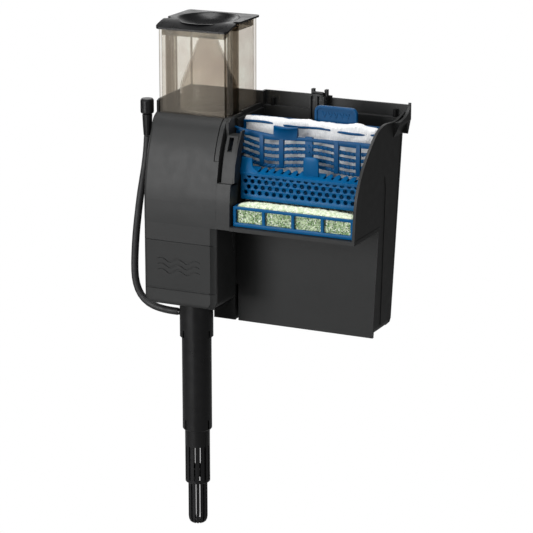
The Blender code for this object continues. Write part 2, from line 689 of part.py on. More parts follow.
def cup():
    """The clear collection cup, the cone inside it, its lid and both seals."""
    above = LID_TOP_Z + 5 * MM
    seat = LID_PLATE + GAP
    body = outline_solid("collection_cup", [cup_outline()], "Z", CUP_LOW_Z, LID_TOP_Z, SMOKE)
    room = outline_solid("cup_room", [cup_outline(CUP_WALL)], "Z", CUP_LOW_Z + CUP_WALL, above, None, HELPERS)
    hole = rod("cup_floor_hole", CUP_HOLE_R, CUP_LOW_Z - 5 * MM, CUP_LOW_Z + 5 * MM, (*CUP_MID, 0), None, HELPERS)
    cut(body, room, hole, between_curves("cup_top", seat, -10 * MM))
    smooth(body, 25)
    foot = CUP_LOW_Z + CUP_WALL + GAP
    cone = [(8 * MM, CONE_TOP_Z), (9.2 * MM, 153 * MM), (CONE_R, 108 * MM), (CONE_R, foot)]
    cone += [(r - CONE_WALL, z) for r, z in reversed(cone)]
    smooth(turned("foam_cone", cone, (*CUP_MID, 0), SMOKE, steps=32))
    ring("cup_seal", CONE_R, 22 * MM, 90 * MM + GAP, CUP_LOW_Z - GAP, (*CUP_MID, 0), RUBBER, steps=32)

    plate_low = LID_TOP_Z - LID_PLATE
    dish_mid = (CUP_MID[0], DISH_Y, 0)
    lid = outline_solid("cup_lid", [cup_outline(-LID_OVERHANG)], "Z", LID_FRONT_Z - 2 * LID_PLATE, above, BLACK)
    keep_inside(lid, between_curves("lid_plate", 0, LID_PLATE))
    shoulder, knee = DISH_R * 0.72, DISH_R * 0.3
    bowl = [(0, plate_low + 1 * MM), (DISH_R + 1.5 * MM, plate_low + 1 * MM), (shoulder, plate_low - 5 * MM),
            (knee, plate_low - DISH_DEPTH), (0, plate_low - DISH_DEPTH - 0.5 * MM)]
    scoop = [(0, LID_TOP_Z + 1 * MM), (DISH_R + 1 * MM, LID_TOP_Z + 1 * MM), (shoulder, LID_TOP_Z - 5 * MM),
             (knee, LID_TOP_Z - DISH_DEPTH), (0, LID_TOP_Z - DISH_DEPTH - 0.5 * MM)]
    join(lid, turned("dish_outside", bowl, dish_mid, None, HELPERS))
    cut(lid, turned("dish_scoop", scoop, dish_mid, None, HELPERS))
    smooth(lid, 25)
    inset = CUP_WALL + GAP
    seal = outline_solid(
        "lid_seal", [cup_outline(inset), cup_outline(inset + SEAL_WALL)], "Z", LID_FRONT_Z - 15 * MM, above, RUBBER
    )
    keep_inside(seal, between_curves("lid_seal_band", seat, seat + SEAL_HEIGHT))


def media():
    """What cleans the water: cartridge, grid, perforated tray and sponge, each in its blue frame."""
    left, right = BAY_LEFT_X - 9 * MM, BAY_RIGHT_X - 1.5 * MM
    bar = FRAME_BAR
    low = FLOOR_TOP_Z + GAP
    frame_ring = [(left, low), (right, low), (right, CARTRIDGE_TOP_Z), (left, CARTRIDGE_TOP_Z)]
    hole = [(left + bar, low + bar), (right - bar, low + bar), (right - bar, CARTRIDGE_TOP_Z - bar),
            (left + bar, CARTRIDGE_TOP_Z - bar)]
    frame = outline_solid("cartridge_frame", [frame_ring, hole], "Y", CARTRIDGE_FRONT_Y, CARTRIDGE_BACK_Y, BLUE)
    tab = outline_solid(
        "cartridge_tab",
        [[(0, 88 * MM), (41 * MM, 88 * MM)] + arc((36 * MM, 104 * MM), 5 * MM, 0, 90, 3)
         + arc((5 * MM, 104 * MM), 5 * MM, 90, 180, 3)],
        "Y", CARTRIDGE_BACK_Y - 4.5 * MM, CARTRIDGE_BACK_Y - 1.5 * MM, None, HELPERS,
    )
    join(frame, tab)
    middle = (CARTRIDGE_FRONT_Y + CARTRIDGE_BACK_Y) / 2
    room = bar + GAP
    block("floss_pad", (left + room, CARTRIDGE_FRONT_Y - 0.5 * MM, low + room),
          (right - room, middle - GAP, CARTRIDGE_TOP_Z - room), FLOSS)
    block("carbon_pad", (left + room, middle + GAP, low + room),
          (right - room, CARTRIDGE_BACK_Y - 5 * MM, CARTRIDGE_TOP_Z - room), CARBON)

    bars = 6
    grid_left, grid_right = BAY_LEFT_X - 8 * MM, BAY_RIGHT_X + 0.5 * MM
    span = (grid_right - grid_left - 4 * MM) / bars
    windows = []
    for index in range(bars):
        x = grid_left + 4 * MM + index * span
        for low_z, high_z in ((55, 62), (65, 71), (74, 80)):
            windows.append([(x, low_z * MM), (x + span - 4 * MM, low_z * MM), (x + span - 4 * MM, high_z * MM),
                            (x, high_z * MM)])
    outline_solid(
        "media_grid",
        [[(grid_left, GRID_LOW_Z), (grid_right, GRID_LOW_Z), (grid_right, GRID_HIGH_Z), (grid_left, GRID_HIGH_Z)]]
        + windows,
        "Y", GRID_FRONT_Y, GRID_FRONT_Y + 4 * MM, BLUE,
    )

    tray = outline_solid(
        "bio_grid",
        [[(BIO_FRONT_Y, BIO_LOW_Z), (BIO_FRONT_Y, BIO_HIGH_Z), (BIO_BACK_Y, BIO_HIGH_Z),
          (BIO_BACK_Y, BIO_HIGH_Z - bar), (BIO_FRONT_Y + bar, BIO_HIGH_Z - bar),
          (BIO_FRONT_Y + bar, BIO_LOW_Z + bar), (BIO_BACK_Y, BIO_LOW_Z + bar), (BIO_BACK_Y, BIO_LOW_Z)]],
        "X", BAY_LEFT_X + 1 * MM, BAY_RIGHT_X - 0.5 * MM, BLUE,
    )
    for index in range(8):
        x = BAY_LEFT_X + (9 + 13.6 * index) * MM
        for z in (31 * MM, 42 * MM):
            hole = rod(f"tray_hole_{index}_{z:.3f}", 3 * MM, -4 * MM, 4 * MM, (x, BIO_FRONT_Y, z), None, HELPERS,
                       steps=6, axis="Y")
            cut(tray, hole)

    sponge_low = FLOOR_TOP_Z + GAP
    windows = []
    inner_span = (BAY_RIGHT_X - BAY_LEFT_X - 3 * MM) / 4
    for index in range(4):
        x = BAY_LEFT_X + 2.5 * MM + index * inner_span
        windows.append([(x, sponge_low + 3.5 * MM), (x + inner_span - 2.5 * MM, sponge_low + 3.5 * MM),
                        (x + inner_span - 2.5 * MM, SPONGE_TOP_Z - 2.5 * MM), (x, SPONGE_TOP_Z - 2.5 * MM)])
    outline_solid(
        "sponge_frame",
        [[(BAY_LEFT_X, sponge_low), (BAY_RIGHT_X - 1 * MM, sponge_low), (BAY_RIGHT_X - 1 * MM, SPONGE_TOP_Z),
          (BAY_LEFT_X, SPONGE_TOP_Z)]] + windows,
        "Y", SPONGE_FRONT_Y, SPONGE_FRONT_Y + bar, BLUE,
    )
    block("bio_sponge", (BAY_LEFT_X + 1 * MM, SPONGE_FRONT_Y + bar + GAP, sponge_low),
          (BAY_RIGHT_X - 2 * MM, 2 * MM, SPONGE_TOP_Z - 0.5 * MM), SPONGE)


def air_line():
    """The air valve beside the column and the hose down to the barb under its foot."""
    place = (VALVE_X, VALVE_Y, 0)
    top = VALVE_TOP_Z
    neck = [(3.5 * MM, top), (4.6 * MM, top - 1 * MM), (4.2 * MM, top - 11 * MM), (3.6 * MM, top - 20 * MM),
            (1.6 * MM, top - 20 * MM), (1.6 * MM, top)]
    turned("air_valve_body", neck, place, BLACK, steps=16)
    foot = top + GAP
    cap = [(0, KNOB_TOP_Z), (KNOB_R - 0.9 * MM, KNOB_TOP_Z), (KNOB_R, KNOB_TOP_Z - 1.5 * MM), (KNOB_R, foot + 1.1 * MM),
           (KNOB_R - 0.5 * MM, foot), (0, foot)]
    smooth(turned("air_valve_knob", cap, place, BLACK, steps=24))
    curve = bpy.data.curves.new("air_hose", "CURVE")
    curve.dimensions = "3D"
    curve.bevel_depth = HOSE_R
    curve.bevel_resolution = 3
    curve.use_fill_caps = True
    spline = curve.splines.new("POLY")
    points = through(mm(HOSE_ROUTE), 2)
    spline.points.add(len(points) - 1)
    for point, at in zip(spline.points, points):
        point.co = (*at, 1)
    add_object("air_hose", curve, RUBBER)
    ring("hose_barb", 3 * MM, 1.5 * MM, TUBE_X - 17.7 * MM, TUBE_X - SOCKET_R - GAP,
         (0, -25.8 * MM, HOSE_END_Z), BLACK, steps=16, axis="X")


def fittings():
    """The cover's catch on the back wall, its locating posts and the grommet of the power cord."""
    x, y, z = -15 * MM, BACK_Y + FLARE_OUT - WALL - 3.4 * MM, RIM_TOP_Z
    bracket = block("cover_catch", (x - 8 * MM, y - 2 * MM, z - 12 * MM), (x + 8 * MM, y + 3 * MM, z - 6 * MM), CHARCOAL)
    for side in (-1, 1):
        ear = block(
            f"catch_ear_{side}", (x + side * 6.5 * MM - 1.3 * MM, y - 1.5 * MM, z - 8 * MM),
            (x + side * 6.5 * MM + 1.3 * MM, y + 2.5 * MM, z + 6 * MM), None, HELPERS,
        )
        join(bracket, ear)
    rod("catch_pin", 1.4 * MM, -4.8 * MM, 4.8 * MM, (x, y + 0.5 * MM, z + 2 * MM), STEEL, axis="X", steps=12)
    for name, post_x in (("left_post", -62 * MM), ("right_post", 58 * MM)):
        rod(name, 1.8 * MM, FLARE_STEP_Z + GAP, FLARE_STEP_Z + 7 * MM, (post_x, BACK_Y + 0.5 * MM, 0), CHARCOAL, steps=12)
    turned("cord_grommet", [(4.5 * MM, 0), (6.5 * MM, -1 * MM), (6.5 * MM, -3 * MM), (3 * MM, -3 * MM), (3 * MM, 0)],
           (-118 * MM, BACK_Y + 3 * MM, 70 * MM), RUBBER, steps=20, axis="Y")


housing()
column()
pump_cover()
column_base()
intake()
pump()
skimmer()
cup()
media()
air_line()
fittings()
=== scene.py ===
"""Looks for the hang-on aquarium filter: camera, light, materials and the finished meshes around the CAD frame.

Points in this file are in millimetres, in the CAD frame, and become metres when a mesh is made.
"""

import json
import math

import bmesh
import bpy
from mathutils import Matrix, Vector, noise


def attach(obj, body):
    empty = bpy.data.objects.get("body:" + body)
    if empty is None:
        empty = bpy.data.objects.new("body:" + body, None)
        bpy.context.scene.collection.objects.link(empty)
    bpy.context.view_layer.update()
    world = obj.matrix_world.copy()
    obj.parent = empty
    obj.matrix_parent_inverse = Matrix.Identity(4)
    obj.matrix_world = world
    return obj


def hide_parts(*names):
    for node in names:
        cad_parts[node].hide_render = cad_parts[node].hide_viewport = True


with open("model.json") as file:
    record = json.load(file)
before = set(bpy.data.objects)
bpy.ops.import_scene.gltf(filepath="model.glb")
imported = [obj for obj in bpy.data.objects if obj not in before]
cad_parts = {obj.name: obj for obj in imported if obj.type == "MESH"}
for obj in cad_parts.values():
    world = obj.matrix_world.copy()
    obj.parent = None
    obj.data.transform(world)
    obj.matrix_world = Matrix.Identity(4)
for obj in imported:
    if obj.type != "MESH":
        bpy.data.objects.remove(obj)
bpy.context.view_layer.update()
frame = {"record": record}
MM = 0.001


# Camera: the photograph's viewing angle, a long lens from the front right and above.
CAMERA_PLACE = (0.8384, -1.8791, 0.5408)
CAMERA_AZIMUTH = 25.16
CAMERA_PITCH = 15.7
FOCAL_LENGTH = 160.8
FLOOR_Z = -0.75


def make_camera():
    data = bpy.data.cameras.new("camera")
    camera = bpy.data.objects.new("camera", data)
    bpy.context.scene.collection.objects.link(camera)
    camera.location = CAMERA_PLACE
    camera.rotation_euler = (math.radians(90 - CAMERA_PITCH), 0, math.radians(CAMERA_AZIMUTH))
    data.lens = FOCAL_LENGTH
    data.sensor_width = 36
    data.clip_start = 0.05
    data.clip_end = 50
    bpy.context.scene.camera = camera


# ---------------------------------------------------------------- meshes


def metres(*values):
    return [value * MM for value in values]


def new_object(name, mesh):
    obj = bpy.data.objects.new(name, mesh)
    bpy.context.scene.collection.objects.link(obj)
    return obj


def from_bmesh(name, shape):
    bmesh.ops.recalc_face_normals(shape, faces=shape.faces)
    mesh = bpy.data.meshes.new(name)
    shape.to_mesh(mesh)
    shape.free()
    return new_object(name, mesh)


def applied(obj):
    """Bakes the object's modifiers, or a curve, into a plain mesh."""
    bpy.context.view_layer.update()
    graph = bpy.context.evaluated_depsgraph_get()
    mesh = bpy.data.meshes.new_from_object(obj.evaluated_get(graph))
    if obj.type == "CURVE":
        made = new_object(obj.name + "_mesh", mesh)
        made.matrix_world = obj.matrix_world.copy()
        name = obj.name
        bpy.data.objects.remove(obj, do_unlink=True)
        made.name = name
        return made
    obj.modifiers.clear()
    obj.data = mesh
    return obj


# Where an outline's own (u, v) and the level w along the axis go.
AXES = {
    "X": lambda u, v, w: (w, u, v),
    "Y": lambda u, v, w: (u, w, v),
    "Z": lambda u, v, w: (u, v, w),
}


def skinned(name, shape, rings):
    """A closed solid through rings of vertices, each of the same count."""
    for first, second in zip(rings, rings[1:]):
        for i in range(len(first)):
            j = (i + 1) % len(first)
            shape.faces.new((first[i], first[j], second[j], second[i]))
    shape.faces.new(rings[0][::-1])
    shape.faces.new(rings[-1])
    return from_bmesh(name, shape)


def prism(name, outline, axis, low, high):
    """A flat outline extruded along an axis: (y, z) along X, (x, z) along Y, (x, y) along Z."""
    shape = bmesh.new()
    place = AXES[axis]
    rings = [[shape.verts.new(metres(*place(u, v, level))) for u, v in outline] for level in (low, high)]
    return skinned(name, shape, rings)


def brick(name, low, high):
    corners = [(low[0], low[1]), (high[0], low[1]), (high[0], high[1]), (low[0], high[1])]
    return prism(name, corners, "Z", low[2], high[2])


def plate(name, rings, axis, low, high, rounding=0.0):
    """A flat outline with holes, extruded, with all its edges rounded."""
    curve = bpy.data.curves.new(name, "CURVE")
    curve.dimensions = "2D"
    curve.fill_mode = "BOTH"
    curve.extrude = ((high - low) / 2 - rounding) * MM
    curve.bevel_depth = rounding * MM
    curve.bevel_resolution = 1
    curve.offset = -rounding * MM
    for outline in rings:
        spline = curve.splines.new("POLY")
        spline.points.add(len(outline) - 1)
        for point, (u, v) in zip(spline.points, outline):
            point.co = (u * MM, v * MM, 0, 1)
        spline.use_cyclic_u = True
    obj = applied(new_object(name, curve))
    middle = (low + high) / 2 * MM
    place = AXES[axis]
    for vertex in obj.data.vertices:
        u, v, w = vertex.co
        vertex.co = place(u, v, w + middle)
    shape = bmesh.new()
    shape.from_mesh(obj.data)
    bmesh.ops.remove_doubles(shape, verts=shape.verts, dist=0.00001)
    bmesh.ops.recalc_face_normals(shape, faces=shape.faces)
    shape.to_mesh(obj.data)
    shape.free()
    return obj


def lathe(name, profile, place, axis="Z", steps=48):
    """A turned shape from (radius, height) points, closed on its axis or in a ring."""
    shape = bmesh.new()
    rings = []
    for radius, height in profile:
        if radius < 1e-6:
            rings.append([shape.verts.new((0, 0, height * MM))])
            continue
        angles = [math.tau * i / steps for i in range(steps)]
        rings.append([
            shape.verts.new((radius * MM * math.cos(a), radius * MM * math.sin(a), height * MM)) for a in angles
        ])
    pairs = list(zip(rings, rings[1:]))
    if profile[0][0] > 1e-6:
        pairs.append((rings[-1], rings[0]))
    for upper, lower in pairs:
        for i in range(steps):
            j = (i + 1) % steps
            corners = [upper[i % len(upper)], upper[j % len(upper)], lower[j % len(lower)], lower[i % len(lower)]]
            unique = list(dict.fromkeys(corners))
            if len(unique) > 2:
                shape.faces.new(unique)
    obj = from_bmesh(name, shape)
    if axis == "Y":
        obj.data.transform(Matrix.Rotation(math.radians(-90), 4, "X"))
    obj.data.transform(Matrix.Translation(metres(*place)))
    return obj


def combine(target, others, operation):
    for other in others:
        change = target.modifiers.new(other.name, "BOOLEAN")
        change.operation = operation
        change.solver = "EXACT"
        change.object = other
        applied(target)
        bpy.data.objects.remove(other, do_unlink=True)
    return target


def cut(target, *others):
    return combine(target, others, "DIFFERENCE")


def join(target, *others):
    return combine(target, others, "UNION")


def merged(name, objects):
    """Several loose shapes as one piece."""
    shape = bmesh.new()
    for obj in objects:
        obj.data.transform(obj.matrix_world)
        shape.from_mesh(obj.data)
        bpy.data.objects.remove(obj, do_unlink=True)
    mesh = bpy.data.meshes.new(name)
    shape.to_mesh(mesh)
    shape.free()
    return new_object(name, mesh)


def copy_of(node, name):
    """A new piece that starts from a CAD node's shape, its flat faces whole again."""
    shape = bmesh.new()
    shape.from_mesh(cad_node(node).data)
    bmesh.ops.remove_doubles(shape, verts=shape.verts, dist=0.000002)
    bmesh.ops.dissolve_limit(shape, angle_limit=math.radians(0.6), verts=shape.verts, edges=shape.edges)
    return from_bmesh(name, shape)


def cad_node(node):
    return bpy.data.objects[node]


SHARP_ANGLE = 32


def soften(obj, width):
    """A small rounding on every edge that is still sharp, with the flat faces kept flat in the shading."""
    bevel = obj.modifiers.new("edge_rounding", "BEVEL")
    bevel.width = width * MM
    bevel.segments = 2
    bevel.limit_method = "ANGLE"
    bevel.angle_limit = math.radians(SHARP_ANGLE)
    bevel.use_clamp_overlap = True
    flat = obj.modifiers.new("flat_faces", "WEIGHTED_NORMAL")
    flat.keep_sharp = True
    return obj


def shade(obj, angle=40):
    obj.data.shade_smooth()
    obj.data.set_sharp_from_angle(angle=math.radians(angle))


def piece(obj, body, material, replaces=(), angle=40, edge=0.35):
    """Gives a finished shape its material and its body, and hides the CAD nodes that it stands for."""
    obj.data.materials.clear()
    for each in material if isinstance(material, (list, tuple)) else [material]:
        obj.data.materials.append(each)
    shade(obj, angle)
    if edge:
        soften(obj, edge)
    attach(obj, body)
    if replaces:
        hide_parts(*replaces)
    return obj


def arc(centre, radius, start, end, steps):
    return [
        (
            centre[0] + radius * math.cos(math.radians(start + (end - start) * i / steps)),
            centre[1] + radius * math.sin(math.radians(start + (end - start) * i / steps)),
        )
        for i in range(steps + 1)
    ]


def circle(centre, radius, steps=16):
    return arc(centre, radius, 0, 360 - 360 / steps, steps - 1)


def rounded_box(low, high, radius, steps=4):
    """A rounded rectangle (u, v), counter-clockwise."""
    left, bottom, right, top = low[0], low[1], high[0], high[1]
    r = radius
    return (
        arc((left + r, bottom + r), r, 180, 270, steps) + arc((right - r, bottom + r), r, 270, 360, steps)
        + arc((right - r, top - r), r, 0, 90, steps) + arc((left + r, top - r), r, 90, 180, steps)
    )


def through(points, steps):
    """A smooth open curve through the points, with this many steps between each two of them."""
    vectors = [Vector(point) for point in points]
    padded = [2 * vectors[0] - vectors[1]] + vectors + [2 * vectors[-1] - vectors[-2]]
    found = []
    for before, a, b, after in zip(padded, padded[1:], padded[2:], padded[3:]):
        for step in range(steps):
            t = step / steps
            found.append(
                0.5 * (2 * a + (b - before) * t + (2 * before - 5 * a + 4 * b - after) * t**2
                       + (3 * a - before - 3 * b + after) * t**3)
            )
    return found + [vectors[-1]]


def flat_through(points, steps):
    return [(p.x, p.y) for p in through([(u, v, 0) for u, v in points], steps)]


def inset_curve(points, depth):
    """The open curve (u, v) moved to its right-hand side by depth."""
    moved = []
    for i, (u, v) in enumerate(points):
        before = points[max(i - 1, 0)]
        after = points[min(i + 1, len(points) - 1)]
        along = Vector((after[0] - before[0], after[1] - before[1])).normalized()
        moved.append((u + along.y * depth, v - along.x * depth))
    return moved


# ---------------------------------------------------------------- materials


class Shader:
    """A node material in the making: a Principled shader fed by noise in the object's own coordinates."""

    def __init__(self, name, roughness=0.4, **settings):
        self.material = bpy.data.materials.new(name)
        self.material.use_nodes = True
        self.tree = self.material.node_tree
        self.surface = self.tree.nodes["Principled BSDF"]
        self.output = self.tree.nodes["Material Output"]
        self.surface.inputs["Roughness"].default_value = roughness
        for socket, value in settings.items():
            self.surface.inputs[socket.replace("_", " ")].default_value = value
        self.place = self.add("ShaderNodeTexCoord").outputs["Object"]

    def add(self, kind, **settings):
        node = self.tree.nodes.new(kind)
        for key, value in settings.items():
            setattr(node, key, value)
        return node

    def link(self, source, target):
        self.tree.links.new(source, target)

    def stretched(self, scale):
        """The object's coordinates multiplied, one factor an axis."""
        mapping = self.add("ShaderNodeMapping")
        mapping.inputs["Scale"].default_value = scale
        self.link(self.place, mapping.inputs["Vector"])
        return mapping.outputs["Vector"]

    def noise(self, size, detail=3.0, vector=None, distortion=0.0):
        """Noise whose blotches are about size millimetres across."""
        node = self.add("ShaderNodeTexNoise")
        node.inputs["Scale"].default_value = 1 / (size * MM)
        node.inputs["Detail"].default_value = detail
        node.inputs["Distortion"].default_value = distortion
        self.link(vector or self.place, node.inputs["Vector"])
        return node.outputs["Fac"]

    def cells(self, size):
        """Distance to the nearest of scattered points, about size millimetres apart."""
        node = self.add("ShaderNodeTexVoronoi")
        node.inputs["Scale"].default_value = 1 / (size * MM)
        self.link(self.place, node.inputs["Vector"])
        return node.outputs["Distance"]

    def spread(self, source, low, high, out_low=0.0, out_high=1.0):
        node = self.add("ShaderNodeMapRange")
        for socket, value in zip(("From Min", "From Max", "To Min", "To Max"), (low, high, out_low, out_high)):
            node.inputs[socket].default_value = value
        self.link(source, node.inputs["Value"])
        return node.outputs["Result"]

    def blend(self, factor, first, second):
        """A mix of two colours, each a tuple or another node's output."""
        node = self.add("ShaderNodeMix", data_type="RGBA")
        for socket, value in zip((node.inputs[0], node.inputs[6], node.inputs[7]), (factor, first, second)):
            if hasattr(value, "is_linked"):
                self.link(value, socket)
            elif isinstance(value, tuple):
                socket.default_value = value + (1,)
            else:
                socket.default_value = value
        return node.outputs[2]

    def colour(self, source):
        self.link(source, self.surface.inputs["Base Color"])

    def clouded(self, source, low, high, first, second):
        """Base colour from first to second as source goes from low to high."""
        self.colour(self.blend(self.spread(source, low, high), first, second))

    def mixed_with(self, other, factor, own_first):
        """The surface as a mix of the Principled shader and another one."""
        mix = self.add("ShaderNodeMixShader")
        self.link(factor, mix.inputs["Fac"])
        self.link(self.surface.outputs["BSDF"], mix.inputs[1 if own_first else 2])
        self.link(other, mix.inputs[2 if own_first else 1])
        self.link(mix.outputs["Shader"], self.output.inputs["Surface"])

    def roughness(self, source, low, high):
        self.link(self.spread(source, 0.3, 0.7, low, high), self.surface.inputs["Roughness"])

    def bump(self, *layers):
        """Bumps from (source, strength, depth in millimetres) layers, one on another."""
        normal = None
        for source, strength, depth in layers:
            node = self.add("ShaderNodeBump")
            node.inputs["Strength"].default_value = strength
            node.inputs["Distance"].default_value = depth * MM
            self.link(source, node.inputs["Height"])
            if normal is not None:
                self.link(normal, node.inputs["Normal"])
            normal = node.outputs["Normal"]
        self.link(normal, self.surface.inputs["Normal"])
        return normal


def shades(colour, amount):
    return tuple(value * (1 - amount) for value in colour), tuple(min(value * (1 + amount), 1) for value in colour)


def moulded(name, colour, roughness, spread=0.07, grain=0.5, tint=0.1, **settings):
    """Moulded plastic: a fine grain, a faint long ripple, clouded colour and uneven gloss."""
    made = Shader(name, roughness, **settings)
    dark, light = shades(colour, tint)
    made.clouded(made.noise(22, 4), 0.35, 0.65, dark, light)
    made.roughness(made.noise(9, 5), roughness - spread, roughness + spread)
    made.bump((made.noise(18, 2), 0.12, 0.1), (made.noise(0.45, 4), grain, 0.03))
    return made.material


def clear(name, tint, haze=(0.50, 0.45, 0.385), gloss=0.11, roughness=0.1):
    """Thin clear plastic: what is behind shows through, tinted, under a glossy skin with faint ripples and scuffs."""
    made = Shader(name, roughness, IOR=1.49)
    dark, light = shades(tint, 0.035)
    shade_of = made.blend(made.spread(made.noise(26, 3), 0.35, 0.65), dark, light)
    through_it = made.add("ShaderNodeBsdfTransparent")
    made.link(shade_of, through_it.inputs["Color"])
    made.surface.inputs["Base Color"].default_value = haze + (1,)
    made.roughness(made.noise(6, 5), roughness - 0.05, roughness + 0.09)
    normal = made.bump((made.noise(14, 2), 0.35, 0.2), (made.noise(3, 2), 0.1, 0.02))
    edge = made.add("ShaderNodeLayerWeight")
    edge.inputs["Blend"].default_value = 0.5
    made.link(normal, edge.inputs["Normal"])
    steep = made.add("ShaderNodeMath", operation="POWER")
    steep.inputs[1].default_value = 5.0
    made.link(edge.outputs["Facing"], steep.inputs[0])
    made.mixed_with(through_it.outputs["BSDF"], made.spread(steep.outputs["Value"], 0, 1, gloss, 0.9), False)
    return made.material


def make_floss():
    """White needled polyester: long soft strands, flecked."""
    made = Shader("floss", 0.92, Sheen_Weight=0.25, Sheen_Roughness=0.5)
    strands = made.noise(1.6, 5, made.stretched((1.0, 1.0, 0.4)), 1.2)
    made.clouded(strands, 0.3, 0.7, (0.66, 0.67, 0.68), (0.86, 0.86, 0.86))
    made.bump((made.noise(9, 3), 0.6, 1.4), (strands, 0.8, 0.8))
    return made.material


def make_sponge():
    """Pale green open-cell foam: pores of several sizes, with painted shade making the hollows deep green and a
    painted highlight making the upward faces pale.
    """
    made = Shader("sponge", 0.92, Sheen_Weight=0.1, Sheen_Roughness=0.6)
    pores = made.spread(made.cells(1.7), 0.1, 0.5)
    fine = made.spread(made.cells(0.8), 0.05, 0.5)
    cloud = made.spread(made.noise(2.6, 4, None, 0.6), 0.38, 0.62)
    body = made.blend(cloud, (0.17, 0.31, 0.11), (0.58, 0.70, 0.44))
    flecks = made.blend(made.spread(made.noise(1.5, 3), 0.54, 0.64), body, (0.92, 0.94, 0.86))
    # Painted shade: the pores are darkened to deep green where shade falls inside them; the green body and white
    # flecks between them are the foam's own colour.
    sides_with_pore_shade = made.blend(pores, (0.07, 0.12, 0.05), flecks)
    # Painted highlight: faces that point up are blended to a paler green, as if lit from above.
    facing = made.add("ShaderNodeSeparateXYZ")
    made.link(made.add("ShaderNodeTexCoord").outputs["Normal"], facing.inputs["Vector"])
    painted_top_light = made.blend(cloud, (0.62, 0.72, 0.46), (0.88, 0.90, 0.76))
    made.colour(made.blend(made.spread(facing.outputs["Z"], 0.25, 0.85, 0, 0.85), sides_with_pore_shade, painted_top_light))
    made.bump((pores, 0.9, 0.8), (fine, 0.6, 0.35))
    return made.material


def make_carbon():
    """Black pad: matt, with small glinting grains."""
    made = Shader("carbon", 0.75, Sheen_Weight=0.1)
    grains = made.cells(1.1)
    made.clouded(grains, 0.1, 0.6, (0.012, 0.012, 0.012), (0.06, 0.06, 0.062))
    made.bump((grains, 0.9, 0.6), (made.noise(0.6, 4), 0.5, 0.2))
    return made.material


def make_rubber():
    """Soft rubber: matt, with a bloom of lighter patches and fine pits."""
    made = Shader("rubber", 0.55)
    dark, light = shades((0.014, 0.014, 0.015), 0.3)
    made.clouded(made.noise(14, 5), 0.4, 0.7, dark, light)
    made.roughness(made.noise(5, 4), 0.45, 0.65)
    made.bump((made.noise(0.5, 3), 0.4, 0.05), (made.noise(4, 2), 0.3, 0.1))
    return made.material


def make_ceramic():
    """Polished ceramic, faintly clouded."""
    made = Shader("ceramic", 0.25, Coat_Weight=0.5, Coat_Roughness=0.1)
    made.clouded(made.noise(3, 5), 0.45, 0.6, (0.80, 0.79, 0.74), (0.90, 0.89, 0.86))
    made.roughness(made.noise(2, 4), 0.18, 0.34)
    made.bump((made.noise(0.4, 3), 0.2, 0.02))
    return made.material


def make_magnet():
    """Sintered ferrite: dark grey, speckled, faintly metallic."""
    made = Shader("magnet", 0.6, Metallic=0.25)
    made.clouded(made.cells(0.7), 0.1, 0.6, (0.03, 0.028, 0.027), (0.075, 0.07, 0.065))
    made.roughness(made.noise(2, 4), 0.5, 0.75)
    made.bump((made.noise(0.5, 4), 0.5, 0.06))
    return made.material


def make_steel():
    """Turned stainless steel with fine rings of brushing."""
    made = Shader("steel", 0.3, Metallic=1.0, Anisotropic=0.4)
    lines = made.noise(0.5, 3, made.stretched((1.0, 9.0, 1.0)))
    made.clouded(lines, 0.3, 0.7, (0.50, 0.50, 0.50), (0.68, 0.68, 0.67))
    made.roughness(lines, 0.2, 0.42)
    made.bump((lines, 0.3, 0.02))
    return made.material


SATIN = {"roughness": 0.46, "spread": 0.03, "tint": 0.05, "Specular_IOR_Level": 0.27}
CHARCOAL = moulded("charcoal", (0.0178, 0.0183, 0.0183), **SATIN)
# A lighter copy of the charcoal plastic for the column: painted light, making the column brighter than the same
# plastic on the recessed box.
CHARCOAL_COLUMN_LIT = moulded("charcoal_column_lit", (0.0228, 0.0233, 0.0233), **SATIN)
CHARCOAL_DOOR = moulded("charcoal_door", (0.0175, 0.018, 0.018), **SATIN)
# A near-black copy of the charcoal plastic: painted shade for the parts inside the housing.
CHARCOAL_INSIDE_SHADE = moulded("charcoal_inside_shade", (0.005, 0.005, 0.0055), 0.5, Specular_IOR_Level=0.25)
BLACK = moulded("black", (0.0045, 0.0045, 0.005), 0.34, Specular_IOR_Level=0.35)
BLACK_LID = moulded("black_lid", (0.0045, 0.0045, 0.005), 0.3, Specular_IOR_Level=0.24)
BLUE = moulded("blue", (0.0, 0.08, 0.215), 0.34, grain=0.25, tint=0.08, Specular_IOR_Level=0.12)
BLUE_DEEP = moulded("blue_deep", (0.0, 0.055, 0.155), 0.36, grain=0.25, tint=0.12, Specular_IOR_Level=0.12)
SMOKE = clear("smoke", (0.988, 0.966, 0.94))
SMOKE_CONE = clear("smoke_cone", (0.92, 0.895, 0.87))
# A darker copy of the smoked plastic: painted shade for the cup's rounded corners, groove slopes, rim and floor.
SMOKE_CORNER_SHADE = clear("smoke_corner_shade", (0.42, 0.38, 0.33), (0.05, 0.045, 0.035))
SMOKE_SEAL = clear("smoke_seal", (0.60, 0.56, 0.50), (0.2, 0.18, 0.14), 0.3, 0.35)
FLOSS = make_floss()
SPONGE = make_sponge()
CARBON = make_carbon()
RUBBER = make_rubber()
CERAMIC = make_ceramic()
MAGNET = make_magnet()
STEEL = make_steel()

FINISH = {
    "charcoal": CHARCOAL, "black": BLACK, "blue": BLUE, "smoke": SMOKE, "floss": FLOSS, "sponge": SPONGE,
    "carbon": CARBON, "rubber": RUBBER, "ceramic": CERAMIC, "magnet": MAGNET, "steel": STEEL,
}
# CAD nodes inside the housing, which get the near-black charcoal as painted shade.
INSIDE = ("reaction_chamber", "riser_pipe", "left_post", "right_post")


